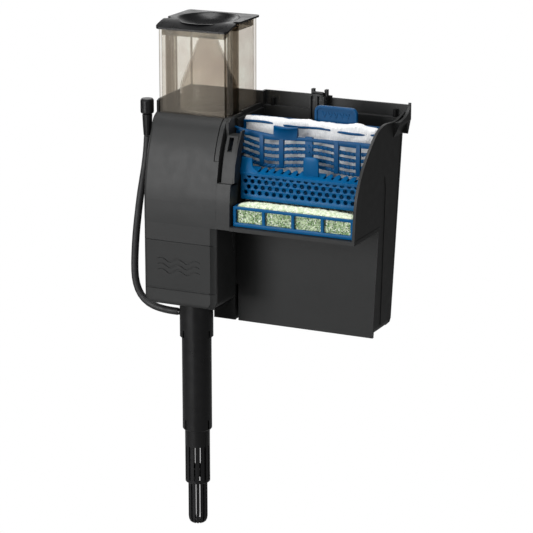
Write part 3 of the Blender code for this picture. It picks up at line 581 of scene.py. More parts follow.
def finish_nodes():
    """Every CAD node gets its slot's material and small rounded edges; the nodes inside the housing get a near-black
    copy of the charcoal as painted shade.
    """
    for row in frame["record"]["subparts"]:
        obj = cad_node(row["node"])
        obj.data.materials.clear()
        obj.data.materials.append(FINISH[row["material_slot"]])
        if row["node"] in INSIDE:
            obj.data.materials[0] = CHARCOAL_INSIDE_SHADE
        shade(obj, 35)
        soften(obj, 0.3)


# ---------------------------------------------------------------- the air hose, then the studio

HOSE_RADIUS = 3.4
HOSE_ROUTE = [
    (-151.5, -24, 73), (-152.2, -24.6, 60), (-154, -25.5, 44), (-158, -26.5, 20), (-161, -27, -2),
    (-163.2, -27, -20), (-164.6, -27, -38), (-165, -27, -54), (-163.5, -27, -66), (-159, -27, -76),
    (-151, -27, -83), (-141, -27, -86.3), (-130, -26.8, -87.6), (-121.5, -25.8, -88),
]


def make_hose():
    """The airline: from under the air valve down past the column, and into the barb on the intake socket."""
    data = bpy.data.curves.new("airline", "CURVE")
    data.dimensions = "3D"
    data.bevel_depth = HOSE_RADIUS * MM
    data.bevel_resolution = 6
    data.use_fill_caps = True
    points = through(HOSE_ROUTE, 2)
    spline = data.splines.new("POLY")
    spline.points.add(len(points) - 1)
    for point, where in zip(spline.points, points):
        point.co = (where.x * MM, where.y * MM, where.z * MM, 1)
    hose = new_object("airline", data)
    data.materials.append(RUBBER)
    spline.use_smooth = True
    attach(hose, "root")
    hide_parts("air_hose")


AMBIENT = 0.22
# Each light's place, what it points at, its size and its power in watts, in metres.
LIGHTS = {
    "key": ((-0.95, -1.9, 0.42), (-0.05, 0, 0.02), (0.9, 1.3), 34),
    "top": ((-0.1, -0.25, 1.7), (-0.03, 0, 0.0), (1.1, 1.1), 28),
    "fill": ((1.5, -1.5, 0.5), (0.0, 0, 0.0), (1.0, 1.4), 3.5),
    "strip": ((-0.38, -2.1, -0.3), (-0.103, -0.025, -0.16), (0.3, 0.75), 2),
    "back": ((-0.85, 1.95, 0.85), (-0.1, 0, 0.15), (1.3, 0.8), 4),
    "rim": ((-1.5, 1.0, 0.5), (-0.05, 0, 0.0), (0.5, 1.6), 8),
}


def area_light(name, place, target, size, power):
    data = bpy.data.lights.new(name, "AREA")
    data.shape = "RECTANGLE"
    data.size, data.size_y = size
    data.energy = power
    light = bpy.data.objects.new(name, data)
    bpy.context.scene.collection.objects.link(light)
    light.location = place
    light.rotation_euler = (Vector(target) - Vector(place)).to_track_quat("-Z", "Y").to_euler()
    light.visible_camera = False


def make_stage():
    """A pale floor far below, a white backdrop and soft lights, mostly from the front left and from above."""
    world = bpy.data.worlds.new("studio")
    world.use_nodes = True
    tree = world.node_tree
    seen = tree.nodes.new("ShaderNodeLightPath")
    strength = tree.nodes.new("ShaderNodeMapRange")
    strength.inputs["To Min"].default_value = AMBIENT
    tree.links.new(seen.outputs["Is Camera Ray"], strength.inputs["Value"])
    tree.nodes["Background"].inputs["Color"].default_value = (1, 1, 1, 1)
    tree.links.new(strength.outputs["Result"], tree.nodes["Background"].inputs["Strength"])
    bpy.context.scene.world = world
    bpy.context.scene.view_settings.view_transform = "Standard"
    for name, settings in LIGHTS.items():
        area_light(name, *settings)
    floor = prism("floor", [(-6, -6), (6, -6), (6, 6), (-6, 6)], "Z", 0, 0.01)
    floor.data.transform(Matrix.Scale(1000, 4))
    floor.location.z = FLOOR_Z
    made = Shader("floor", 0.95)
    made.colour(made.blend(made.noise(300, 2), (0.34, 0.34, 0.34), (0.36, 0.36, 0.36)))
    lit = made.add("ShaderNodeEmission")
    made.mixed_with(lit.outputs["Emission"], made.add("ShaderNodeLightPath").outputs["Is Camera Ray"], True)
    floor.data.materials.append(made.material)


# ---------------------------------------------------------------- the housing

LEFT_X, SEAM_X, BLOCK_X, RIGHT_X = -145.0, -72.0, -58.5, 66.0
# SLOT_Y and GLASS_Y are the two faces on either side of the tank's glass.
FRONT_Y, SLOT_Y, GLASS_Y, BACK_Y = -47.0, -7.0, 8.0, 51.0
TANK_LOW_Z = -100.0
COVER_DEPTH, COVER_GAP, LEDGE_OUT = 2.7, 0.4, 0.38
# The gap between the column's duct and the media box, and the wall round it.
DUCT_GAP_LEFT_X, DUCT_GAP_RIGHT_X, DUCT_GAP_HEIGHT, DUCT_GAP_DEPTH, DUCT_GAP_WALL = -79.8, -76.6, 34.5, 38.5, 1.5
FOOT_Z, COVER_LOW_Z, COVER_HIGH_Z, SHELF_Z, RIM_Z = -76.0, -61.5, -16.0, 41.5, 108.0
# The column's front face as (y, z), and its lower right edge as (distance from the side, depth).
COLUMN_FRONT = [
    (-47, -76), (-47, -30), (-47, 15), (-45, 38), (-39, 64), (-31.5, 82), (-26, 90.5), (-20, 95), (-13, 97)
]
STEPPED_EDGE = [(6.0, 0), (5.6, 0.3), (3.2, 1.9), (1.2, 2.2), (0.25, 3.0), (0, 4.6)]
LEAN = math.tan(math.radians(2.8))
COLUMN_WALL, SIDE_WALL = 3.2, 2.5
# How the column's foot, lower rim and left edge are rounded. The left edge gets sharper above SHARPENS_Z.
FOOT_RADIUS, FOOT_SINK, SIDE_RADIUS, TOP_RADIUS, SHARPENS_Z = 8, 3, 3.6, 1.2, 82


def column_front(steps):
    """The column's front face as a smooth curve (y, z), from its foot to its top."""
    return flat_through(COLUMN_FRONT, steps)


def right_x(z):
    """The right wall's outer face, which leans in towards its foot."""
    return RIGHT_X - (82 - z) * LEAN


def front_band(name, x_low, x_high, z_low, z_high, outside, inside):
    """A slab that follows the column's front face, from outside millimetres in front of it to inside behind it."""
    curve = column_front(8)
    outer = [p for p in inset_curve(curve, -outside) if z_low < p[1] < z_high]
    inner = [p for p in inset_curve(curve, inside) if z_low < p[1] < z_high]
    outer = [(outer[0][0], z_low)] + outer + [(outer[-1][0] + 0.2, z_high)]
    inner = [(inner[0][0], z_low)] + inner + [(inner[-1][0] + 0.2, z_high)]
    return prism(name, outer + inner[::-1], "X", x_low, x_high)


def wave_outline(x_low, x_high, z, height, width, waves=2.5):
    """A closed wavy stripe (x, z) with pointed ends."""
    count = 40
    middle = [(x_low + (x_high - x_low) * i / count, z + height * math.sin(math.tau * waves * i / count))
              for i in range(count + 1)]
    half = [width / 2 * math.sin(math.pi * i / count) ** 0.5 for i in range(count + 1)]
    top = [(x, v + h) for (x, v), h in zip(middle, half)]
    low = [(x, v - h) for (x, v), h in zip(middle, half)]
    return low + top[-2:0:-1]


def edge_depth(distance, radius):
    """How far an edge rounded to this radius has fallen back at this distance from its end."""
    if distance >= radius:
        return 0.0
    return radius - math.sqrt(max(radius**2 - (radius - distance) ** 2, 0))


def column_body(name):
    """The column as horizontal rings: its curved front with rounded edges, and square at the back."""
    curve = column_front(8)
    inner = inset_curve(curve, 1)
    stations = [(FRONT_Y, FOOT_Z + FOOT_RADIUS * (1 - math.cos(math.radians(11.25 * i))), 1.0, 0.0) for i in range(9)]
    stations += [(FRONT_Y, z, 1.0, 0.0) for z in (-61.5, -40, -16, -0.05)]
    above = [(y, z, i[0] - y, i[1] - z) for (y, z), i in zip(curve, inner) if z > 0.5]
    stations += [(FRONT_Y, 0, 1.0, 0.0)] + above
    angles = [math.radians(18 * i) for i in range(6)]
    shape = bmesh.new()
    rings = []
    for y, z, toward_y, toward_z in stations:
        below = z < 0
        side = edge_depth(z - FOOT_Z, FOOT_RADIUS)
        sink = edge_depth(z - FOOT_Z, FOOT_SINK)
        left, right = LEFT_X + side, SEAM_X - side
        radius = max(TOP_RADIUS, SIDE_RADIUS - 0.3 * max(z - SHARPENS_Z, 0))
        turned = [(left + radius * (1 - math.cos(a)), radius * (1 - math.sin(a))) for a in angles]
        if below:
            turned += [(right - x, depth) for x, depth in STEPPED_EDGE]
        else:
            turned += [(right - 0.02 * (1 - math.cos(a)), 0.02 * (1 - math.sin(a))) for a in reversed(angles)]
        points = [(x, y + (depth + sink) * toward_y, z + (depth + sink) * toward_z) for x, depth in turned]
        back = SLOT_Y if below else BACK_Y - 0.3
        points += [(right, back, z), (left, back, z)]
        rings.append([shape.verts.new(metres(*point)) for point in points])
    return skinned(name, shape, rings)


def make_column():
    """The pump column and its cover, which share one front face with rounded edges."""
    outer = column_body("column_shell")
    door = copy_mesh(outer, "pump_door")
    combine(door, [brick("door_room", (-150, -50, COVER_LOW_Z + COVER_GAP),
                         (-60, FRONT_Y + COVER_DEPTH - 0.2, COVER_HIGH_Z - COVER_GAP))],
            "INTERSECT")
    for row in range(3):
        stripe = prism(f"wave_{row}", wave_outline(-131, -88, -33.5 - 5.2 * row, 1.7, 1.9), "Y", -50, FRONT_Y + 0.7)
        cut(door, stripe)
    cut(door, brick("grip", (-118.5, -50, -63), (-98.5, FRONT_Y + 1.0, COVER_LOW_Z + 1.4)))
    join(door, brick("ledge", (LEFT_X + 4, FRONT_Y - LEDGE_OUT, COVER_LOW_Z + 0.5),
                     (SEAM_X - 6.6, FRONT_Y + 1, COVER_LOW_Z + 1.5)))
    piece(door, "pump_door", CHARCOAL_DOOR, ["pump_cover"], edge=0.35)

    inner = [p for p in inset_curve(column_front(4), COLUMN_WALL) if p[1] < 88][1:] + [
        (-19.6, 90.5), (-19.6, 120), (48.2, 120), (48.2, 2.5), (-9.5, 2.5), (-9.5, -90), (-44.5, -90)
    ]
    cut(
        outer,
        prism("hollow", inner, "X", LEFT_X + SIDE_WALL, SEAM_X - SIDE_WALL),
        brick("cover_slab", (-150, -60, COVER_LOW_Z), (-60, FRONT_Y + COVER_DEPTH, COVER_HIGH_Z)),
        brick("pump_opening", (LEFT_X + 5, -60, COVER_LOW_Z + 2), (SEAM_X - 7, -40, COVER_HIGH_Z - 2)),
        brick("skimmer_outlet", (-77, 20, 20), (-67, 40, 60)),
        front_band("recess", -77.1, -71.9, 60, 96, 4, 1.5),
        brick("recess_top", (-77.4, -26, 95.3), (-71.9, 10, 99)),
        brick("mould_line", (-150, -50, 19.9), (-71.9, FRONT_Y + 0.22, 20.25)),
    )
    rib = front_band("rib", -76.3, -72.4, 60.2, 95.6, -0.1, 4)
    block = front_band("flush_block", SEAM_X - 0.3, BLOCK_X, 0.3, SHELF_Z, 0, 16)
    rail = front_band("outer_rail", -69.3, BLOCK_X, SHELF_Z - 2, 82, -3.4, 13)
    cut(rail, brick("rail_slot", (-66.8, -60, 68.5), (-62.4, -20, 80.5)))
    neck = front_band("rail_neck", SEAM_X - 0.4, -69, SHELF_Z - 2, 76, -7, 16)
    upstand = prism("left_upstand", [(-18, 90), (-18, 105), (-14, 106.5), (45, 108), (50.7, 108), (50.7, 90)], "X",
                    LEFT_X, LEFT_X + 2.3)
    back_stand = brick("back_upstand", (LEFT_X + 2.2, 48.2, 90), (SEAM_X, 50.6, RIM_Z))
    bead = prism("side_bead", [(-19.4, -0.6), (-18.2, -0.6), (-15.4, -8), (-13.2, -16), (-11.6, -28), (-12.8, -28),
                               (-14.5, -16), (-16.8, -8)], "X", SEAM_X - 1, SEAM_X + 1.3)
    join(outer, rib, block, rail, neck, bead)
    outer = merged("column_shell", [outer, upstand, back_stand])
    # Painted light: the column takes the lighter copy of the charcoal.
    piece(outer, "root", CHARCOAL_COLUMN_LIT, ["pump_column"], edge=0.4)


def copy_mesh(obj, name):
    return new_object(name, obj.data.copy())


def make_tank():
    """The media box: the CAD's walls with the groove of the grid, the band on the right wall and softened edges."""
    tank = copy_of("media_box", "media_tank")
    band = prism("band", [(12.8, -101.5), (27, -101.5), (19.5, 36), (15.5, 50), (11, 36)], "X", -0.9, 5)
    for vertex in band.data.vertices:
        vertex.co.x += right_x(vertex.co.z / MM) * MM
    cut(
        tank,
        brick("column_side", (-75, -60, -0.2), (BLOCK_X + 0.2, -26, 120)),
        brick("rail_side", (-69.1, -60, 42), (BLOCK_X + 0.2, -12, 120)),
        brick("grid_groove", (-73, -14, 49), (-69, -6, 120)),
        band,
    )
    end = brick("flare_end", (-72.6, 48.3, 83), (-70.4, 56.4, 107.8))
    tank = merged("media_tank", [tank, end])
    join(tank, brick("duct_gap_lining", (DUCT_GAP_LEFT_X - DUCT_GAP_WALL, GLASS_Y + 0.4, TANK_LOW_Z + 0.4),
                     (DUCT_GAP_RIGHT_X + DUCT_GAP_WALL, GLASS_Y + DUCT_GAP_DEPTH + DUCT_GAP_WALL,
                      TANK_LOW_Z + DUCT_GAP_HEIGHT + DUCT_GAP_WALL)))
    cut(tank, brick("duct_gap", (DUCT_GAP_LEFT_X, GLASS_Y - 3, TANK_LOW_Z - 3),
                    (DUCT_GAP_RIGHT_X, GLASS_Y + DUCT_GAP_DEPTH, TANK_LOW_Z + DUCT_GAP_HEIGHT)))
    piece(tank, "root", CHARCOAL, ["media_box"], edge=0.6)
    body = plate("catch_block", [rounded_box((-23.2, 86), (-6.8, 105.5), 1.2, 3)], "Y", 45.4, 48.6, 0.5)
    ribs = [plate(f"catch_rib_{x}", [rounded_box((x - 1.1, 84.5), (x + 1.1, 108.5), 0.5, 2)], "Y", 43.6, 47.5, 0.5)
            for x in (-21.5, -15, -8.5)]
    hook = plate("catch_hook", [[(45.5, 104), (48.8, 104), (48.8, 111.5), (46.5, 112.6), (44.6, 111.4), (46.3, 110)]],
                 "X", -20.5, -9.5, 0.5)
    piece(merged("catch_block", [body, hook] + ribs), "root", CHARCOAL, angle=40, edge=0)


# ---------------------------------------------------------------- the skimmer's cup and lid

CUP = (-142.1, -19.0, -74.9, 45.0)
CONE_PLACE, DISH_PLACE = (-108.5, 13, 0), (-108.5, 14, 0)
CUP_LOW_Z, CUP_FLOOR_Z, LID_TOP_Z, LID_FRONT_Z = 94, 96, 178.0, 172.3


def cup_outline(inset=0.0, radius=3.0, steps=6):
    """The cup's section (x, y): a rounded rectangle with a grip groove in each side."""
    left, front, right, back = CUP[0] + inset, CUP[1] + inset, CUP[2] - inset, CUP[3] - inset
    r = max(radius - inset, 0.8)
    half = 6.5 + inset
    groove = [(0, 1 - half), (-4.5, 1 - half / 2), (-4.5, 1 + half / 2), (0, 1 + half)]
    points = arc((left + r, front + r), r, 180, 270, steps) + arc((right - r, front + r), r, 270, 360, steps)
    points += [(right + u, v) for u, v in groove]
    points += arc((right - r, back - r), r, 0, 90, steps) + arc((left + r, back - r), r, 90, 180, steps)
    return points + [(left - u, v) for u, v in groove[::-1]]


def lid_curve(lower):
    """The lid's upper face (y, z), rolled down at the front, or a curve this far under it."""
    front, drop, top = CUP[1] - 2.4, LID_TOP_Z - LID_FRONT_Z, LID_TOP_Z - lower
    return flat_through(
        [(front - 0.4, top - drop), (front + 5, top - 0.66 * drop), (front + 11, top - 0.34 * drop),
         (front + 18, top - 0.09 * drop), (front + 25, top)], 4) + [(CUP[3] + 5, top)]


def between_curves(name, low, high):
    """The slab between two such curves, wider than the cup."""
    return prism(name, lid_curve(high) + lid_curve(low)[::-1], "X", CUP[0] - 6, CUP[2] + 6)


def make_skimmer():
    """The clear collection cup, its foam cone, and the lid with its finger dish and seal."""
    body = prism("cup_body", cup_outline(0, 1.8), "Z", CUP_LOW_Z, LID_TOP_Z)
    cut(body, prism("cup_room", cup_outline(2.0), "Z", CUP_FLOOR_Z, LID_TOP_Z + 5),
        lathe("cup_floor_hole", [(20, 90), (20, 98), (0, 98), (0, 90)], CONE_PLACE),
        between_curves("cup_top", 2.3, -10))
    piece(body, "cup", [SMOKE, SMOKE_CORNER_SHADE], ["collection_cup"], angle=30, edge=0)
    # Painted shade: the faces at the cup's rounded corners and groove slopes, and its rim and floor faces, take the
    # darker copy of the smoked plastic.
    for face in body.data.polygons:
        n = face.normal
        shaded_corner = abs(n.z) < 0.3 and 0.18 < abs(n.x) < 0.985 and 0.18 < abs(n.y)
        face.material_index = 1 if shaded_corner or abs(n.z) > 0.6 else 0
    cone = [(8, 162), (8.2, 161), (8.8, 159.2), (24.7, 119.6), (25.3, 117.6), (25.5, 115), (25.5, 96.3)]
    cone += [(max(r - 1.5, 1), z) for r, z in reversed(cone)]
    made = lathe("foam_riser", cone, CONE_PLACE, steps=64)
    piece(made, "cup", SMOKE_CONE, ["foam_cone"], angle=50, edge=0)

    lid = prism("lid_plate", cup_outline(-2.4, 1.5), "Z", 160, 185)
    combine(lid, [between_curves("lid_slab", 0, 1.7)], "INTERSECT")
    scoop = flat_through([(30, 178.4), (28, 177.4), (25, 174.8), (20, 171.8), (12, 169.6), (4, 168.7)], 4)
    bowl = [(r, z - 2.0) for r, z in scoop]
    join(lid, lathe("dish_outside", [(0, 176.6), (28.6, 176.6)] + bowl[5:] + [(0, bowl[-1][1])],
                    DISH_PLACE, steps=72))
    cut(lid, lathe("dish_scoop", [(0, 182), (30, 182)] + scoop + [(0, 168.6)], DISH_PLACE, steps=72))
    piece(lid, "lid", BLACK_LID, ["cup_lid"], angle=35, edge=0.6)
    skirt = plate_ring("lid_skirt", cup_outline(2.3), cup_outline(3.8), 155, 185)
    combine(skirt, [between_curves("skirt_slab", 2.3, 9.2)], "INTERSECT")
    piece(skirt, "lid", SMOKE_SEAL, ["lid_seal"], angle=35, edge=0.2)


def plate_ring(name, outer, inner, low, high):
    body = prism(name, outer, "Z", low, high)
    return cut(body, prism(name + "_hole", inner, "Z", low - 2, high + 2))


# ---------------------------------------------------------------- the intake

TUBE = (-103.0, -25.0)
FOUR_SLITS = (-115, -15, 65, 165)


def slits(target, radius, z_low, z_high, width, angles, tag):
    """Narrow upright slots through a tube's wall, their middles at these angles."""
    cutters = []
    for index, angle in enumerate(angles):
        cutter = prism(f"{tag}_{index}", rounded_box((radius - 4, z_low), (radius + 3, z_high), 0.3, 1), "Y",
                       -width / 2, width / 2)
        cutter.data.transform(Matrix.Rotation(math.radians(angle), 4, "Z"))
        cutter.data.transform(Matrix.Translation((TUBE[0] * MM, TUBE[1] * MM, 0)))
        cutters.append(cutter)
    return cut(target, *cutters)


def make_intake():
    """The telescoping intake: two tubes and a strainer with a scalloped, slotted end."""
    place = (TUBE[0], TUBE[1], 0)
    tube = lathe("tube_upper", [(13.6, -80.8), (13.6, -197.2), (13.0, -198), (11.9, -198), (11.9, -80.8)], place,
                 steps=64)
    slits(tube, 13.6, -197, -188, 1.6, FOUR_SLITS, "tube_slit")
    piece(tube, "tube", BLACK, ["intake_tube"], edge=0.3)
    round_about = [-65 + 12.9 + 25.7 * i for i in range(14)]
    lower = lathe("tube_lower", [(11.5, -184), (11.5, -249.3), (10.9, -250), (9.2, -250), (9.2, -184)], place,
                  steps=64)
    slits(lower, 11.5, -247, -214, 1.5, round_about, "lower_slit")
    piece(lower, "tube_extension", BLACK, ["extension_tube"], edge=0.25)
    end = [(8.9, -236), (8.9, -284.5), (8.5, -287.3), (7.5, -289.4), (6.0, -290.5), (0, -290.5), (0, -288.5),
           (5.4, -288.2), (6.8, -285), (7.1, -236)]
    strainer = lathe("strainer_end", end, place, steps=56)
    slits(strainer, 8.6, -292, -241, 1.35, round_about, "strainer_slit")
    piece(strainer, "tube_end", BLACK, ["strainer"], edge=0.2)


def make_foot():
    """The socket under the column, with its chamfered mouth and four short slits."""
    foot = copy_of("column_base", "intake_socket")
    slits(foot, 15.5, -110, -101.5, 1.8, FOUR_SLITS, "socket_slit")
    piece(foot, "root", BLACK, ["column_base"], edge=0.7)


# ---------------------------------------------------------------- the blue frames and what they hold

TRAY_Y, GRID_Y, SPONGE_Y = -27.0, -12.0, -43.0
GRID_WAVE = [(-70, 4.8), (-60, 2.6), (-52, 0.3), (-44, -1.6), (-36, -2.1), (-28, -1.8), (-20, -0.6), (-8, 0.8),
             (5, 1.6), (12, 1.6), (22, 0.6), (30, -0.9), (42, -2.1), (52, -1.6), (66, 0.0)]


def value_at(curve, x):
    """Where an open curve (x, value) with rising x stands at this x."""
    for (x1, v1), (x2, v2) in zip(curve, curve[1:]):
        if x <= x2:
            return v1 + (v2 - v1) * max(0.0, (x - x1) / (x2 - x1))
    return curve[-1][1]


SMOOTH_WAVE = flat_through(GRID_WAVE, 5)


def wave(x):
    return value_at(SMOOTH_WAVE, x)


def ribbon(name, stations, corner=0.35):
    """A bar along X through (x, y middle, z middle, depth, height) stations, its long edges rounded."""
    shape = bmesh.new()
    rings = []
    for x, y, z, depth, height in stations:
        low, high = (y - depth / 2, z - height / 2), (y + depth / 2, z + height / 2)
        ring = rounded_box(low, high, min(corner, height / 2.1), 2)
        rings.append([shape.verts.new(metres(x, v, w)) for v, w in ring])
    return skinned(name, shape, rings)


def span(low, high, step):
    count = max(1, round((high - low) / step))
    return [low + (high - low) * i / count for i in range(count + 1)]


def stud(x, y, z, size):
    """A small rounded boss on a slat, pointing to the front."""
    profile = [(0, 0.4), (size, 0.4), (size * 0.85, -0.7), (size * 0.45, -1.15), (0, -1.25)]
    return lathe("stud", profile, (x, y, z), "Y", 8)


def make_grid():
    """The coarse grid: a leaning top rail, wavy slats with two rows of studs, upright bars and a finger tab."""
    parts, studs = [], []
    rail_top = flat_through([(-69.5, 87.4), (-60, 85.6), (-45, 83.7), (-31, 82.5), (0, 82.6), (63, 83.1)], 4)
    low = [(x, 79.1 + 0.55 * wave(x)) for x, _ in rail_top]
    stations = []
    for (x, top), (_, bottom) in zip(rail_top, low):
        bottom = top - 1.2 if x < -66 else bottom
        stations.append((x, GRID_Y + 1.5 - 0.25 * wave(x), (top + bottom) / 2, 3, top - bottom))
    parts.append(ribbon("rail", stations))
    for level in (74.2, 68.4, 62.2, 56.2):
        parts.append(ribbon("slat", [(x, GRID_Y + 1.7 - 0.35 * wave(x), level + wave(x), 2.2, 3.0)
                                     for x in span(-66, 62.8, 2)]))
        for row in (0, 1):
            for x in span(-64.5 + 2.1 * row, 61.5, 4.2):
                studs.append(stud(x, GRID_Y + 0.7 - 0.35 * wave(x), level + wave(x) + 0.8 - 1.6 * row, 0.95))
    for x, width in ((-66.8, 3), (-43.6, 3.6), (-24.3, 4.2), (2.4, 7), (28.8, 4.2), (49.5, 3.8)):
        parts.append(ribbon("bar", [(x - width / 2, GRID_Y + 1.4, 68.5 + wave(x) * 0.5, 3.2, 29),
                                    (x + width / 2, GRID_Y + 1.4, 68.5 + wave(x) * 0.5, 3.2, 29)]))
    parts.append(finger_tab())
    for each in parts:
        each.data.shade_smooth()
    grid = merged("grid_rack", parts)
    piece(grid, "grid", BLUE_DEEP, ["media_grid"], angle=45, edge=0)
    # Painted highlight: the studs take the lighter blue, so they read lighter than the grid's own darker blue.
    piece(merged("grid_studs", studs), "grid", BLUE, angle=60, edge=0)


def finger_tab():
    """The spoon-shaped tab on the grid's rail, whose upper lip curls forward."""
    shape = bmesh.new()
    rings = []
    for x in span(-31.6, -8.6, 1.6):
        u = (x + 20.1) / 11.5
        curl = 4.2 * (1 - u * u)
        top = 91.2 - 0.5 * (1 - u * u)
        low = 79.5 if abs(u) < 0.8 else 79.5 + 20 * (abs(u) - 0.8)
        section = [(2.6, low), (2.6, top - 1.2), (2.2, top), (0.4 - curl, top + 0.1), (-0.4 - curl, top - 0.5),
                   (-0.2 - curl * 0.8, top - 1.4), (-0.4 - curl * 0.25, top - 3.6), (-0.6, top - 6.5), (-0.6, low)]
        rings.append([shape.verts.new(metres(x, GRID_Y + y, z)) for y, z in section])
    return skinned("finger_tab", shape, rings)


def make_tray():
    """The biological tray: a perforated front, a comb of fingers on top and an upright tongue."""
    rings = [rounded_box((-56.8, 25.6), (60.2, 49.6), 0.8, 2)]
    for z, start in ((47.2, -48.6), (42.3, -52.4), (37.2, -49.0), (32.1, -52.1)):
        for i in range(17):
            x = start + 6.9 * i
            if x < 57.6:
                rings.append(circle((x, z), 2.05, 12)[::-1])
    parts = [plate("tray_front", rings, "Y", TRAY_Y, TRAY_Y + 2.2, 0.3)]
    parts.append(brick("tray_floor", (-56, TRAY_Y + 1.5, 25.8), (59.5, -1, 27.6)))
    parts.append(brick("tray_left", (-56.6, TRAY_Y + 1, 26), (-54.8, -1, 49)))
    parts.append(brick("tray_right", (58.3, TRAY_Y + 1, 26), (60, -1, 49)))
    parts.append(brick("tray_divider", (-56, -14.6, 26), (59.5, -13.0, 50.5)))

    def shelf_z(y):
        """The comb's upper face, which rises to the back."""
        return 49.4 + 3.8 * (y - TRAY_Y) / 14

    gaps = (-41.6, -34.2, -26.9, -19.4, -12.0, -4.8, 21.6, 29.0, 36.4, 43.8, 51.2)
    comb_left, comb_right = -57.0, 60.3
    edges = [comb_left] + [edge for gap in gaps for edge in (gap - 1.15, gap + 1.15)] + [comb_right]
    parts.append(sloped("comb_root", comb_left, comb_right, TRAY_Y - 0.3, -22.6, shelf_z))
    for left, right in zip(edges[::2], edges[1::2]):
        parts.append(sloped("comb_finger", left, right, -23, -13.4, shelf_z, round_end=right - left < 8))
    ramp = [(-58.2, 49.3), (-40, 49.3), (-41.6, 51.4), (-44.4, 52.8), (-46.6, 55.2), (-47.6, 58.6), (-48.2, 61.8),
            (-58.2, 62.3)]
    corner = plate("corner_ramp", [ramp], "Y", -0.9, 0.9, 0.4)
    for vertex in corner.data.vertices:
        vertex.co.y += (TRAY_Y + 1.2 + 0.4 * (vertex.co.z / MM - 49.3)) * MM
    parts.append(corner)
    parts.append(plate("tongue", [tongue_outline(1.2, 15.9, 50.5, 68.2, 4.6)], "Y", -21.4, -19.2, 0.7))
    for each in parts:
        shade(each, 40)
    tray = merged("bio_tray", parts)
    piece(tray, "tray", BLUE, ["bio_grid"], angle=40, edge=0)


def tongue_outline(left, right, low, high, r):
    """Square at the foot, with two rounded corners on top."""
    corners = arc((right - r, high - r), r, 0, 90, 6) + arc((left + r, high - r), r, 90, 180, 6)
    return [(left, low), (right, low)] + corners


def sloped(name, left, right, front, back, height, round_end=False, thick=1.8):
    """A strip of the shelf between two x, as a grid over its slope, with an optional rounded far end."""
    shape = bmesh.new()
    xs, ys = span(left, right, 1.2), span(front, back, 1.2)
    half = (right - left) / 2
    upper, lower = [], []
    for y in ys:
        pinch = 0.0
        if round_end and y > back - half:
            pinch = half - math.sqrt(max(half**2 - (y - back + half) ** 2, (0.35 * half) ** 2))
        row = [left + half + (x - left - half) * (half - pinch) / half for x in xs]
        crown = [0.45 * (1 - ((x - left) / half - 1) ** 6) for x in xs]
        upper.append([shape.verts.new(metres(x, y, height(y) - 0.45 + c)) for x, c in zip(row, crown)])
        lower.append([shape.verts.new(metres(x, y, height(y) - thick)) for x in row])
    close_slab(shape, upper, lower)
    return from_bmesh(name, shape)


def close_slab(shape, upper, lower):
    """Faces over two grids of vertices and round their rim."""
    for grid in (upper, lower):
        for first, second in zip(grid, grid[1:]):
            for a, b, c, d in zip(first, first[1:], second[1:], second):
                shape.faces.new((a, b, c, d))
    rims = [grid[0] + [row[-1] for row in grid[1:]] + grid[-1][-2::-1] + [row[0] for row in grid[-2:0:-1]]
            for grid in (upper, lower)]
    for i, (top, bottom) in enumerate(zip(*rims)):
        shape.faces.new((rims[0][i - 1], top, bottom, rims[1][i - 1]))


def make_sponge_frame():
    """The sponge's holder: a front with four windows, low sides and a thin floor."""
    left, right, low, high = -57.0, 59.0, 3.8, 22.0
    rings = [rounded_box((left, low), (right, high), 0.8, 2)]
    inner = (right - left - 2.8) / 4
    for i in range(4):
        x = left + 2.8 + i * inner
        rings.append(rounded_box((x, low + 3.6), (x + inner - 2.8, high - 2.6), 0.6, 2)[::-1])
    parts = [plate("holder_front", rings, "Y", SPONGE_Y, SPONGE_Y + 2.4, 0.45)]
    for x in (left, right - 1.5):
        parts.append(plate("holder_side", [[(SPONGE_Y + 1.5, low), (-12, low), (-12, 12), (-22, high - 3),
                                            (-30, high), (SPONGE_Y + 1.5, high)]], "X", x, x + 1.5, 0.3))
    parts.append(plate("holder_floor", [rounded_box((left + 0.5, SPONGE_Y + 1.5), (right - 0.5, -12), 1, 2)], "Z",
                       low, low + 1.2, 0.3))
    holder = merged("sponge_holder", parts)
    piece(holder, "sponge_holder", BLUE, ["sponge_frame"], angle=40, edge=0)


def soft_block(name, low, high, step, radius, shape_point, roughness_steps):
    """A soft pad: a fine closed grid over a rounded block, its points shaped and then roughened along normals."""
    shape = bmesh.new()
    counts = [max(2, round((b - a) / step)) for a, b in zip(low, high)]
    found = {}

    def vertex(i, j, k):
        key = (i, j, k)
        if key not in found:
            at = [a + (b - a) * n / count for a, b, n, count in zip(low, high, key, counts)]
            core = [min(max(v, a + radius), b - radius) for v, a, b in zip(at, low, high)]
            out = Vector(at) - Vector(core)
            if out.length > 1e-6:
                largest = max(abs(value) for value in out)
                out = out.normalized() * largest
            found[key] = shape.verts.new((Vector(core) + out) * MM)
        return found[key]

    for axis in range(3):
        u, v = [n for n in range(3) if n != axis]
        for side in (0, counts[axis]):
            for i in range(counts[u]):
                for j in range(counts[v]):
                    corners = []
                    for di, dj in ((0, 0), (1, 0), (1, 1), (0, 1)):
                        key = [0, 0, 0]
                        key[axis], key[u], key[v] = side, i + di, j + dj
                        corners.append(vertex(*key))
                    shape.faces.new(corners)
    for each in shape.verts:
        each.co = Vector(shape_point(*(each.co / MM))) * MM
    bmesh.ops.recalc_face_normals(shape, faces=shape.faces)
    shape.normal_update()
    moves = []
    for each in shape.verts:
        amount = sum(depth * noise.noise(each.co / (size * MM) + Vector((seed, 0, 0)))
                     for size, depth, seed in roughness_steps)
        moves.append(each.normal * amount * MM)
    for each, move in zip(shape.verts, moves):
        each.co += move
    return from_bmesh(name, shape)


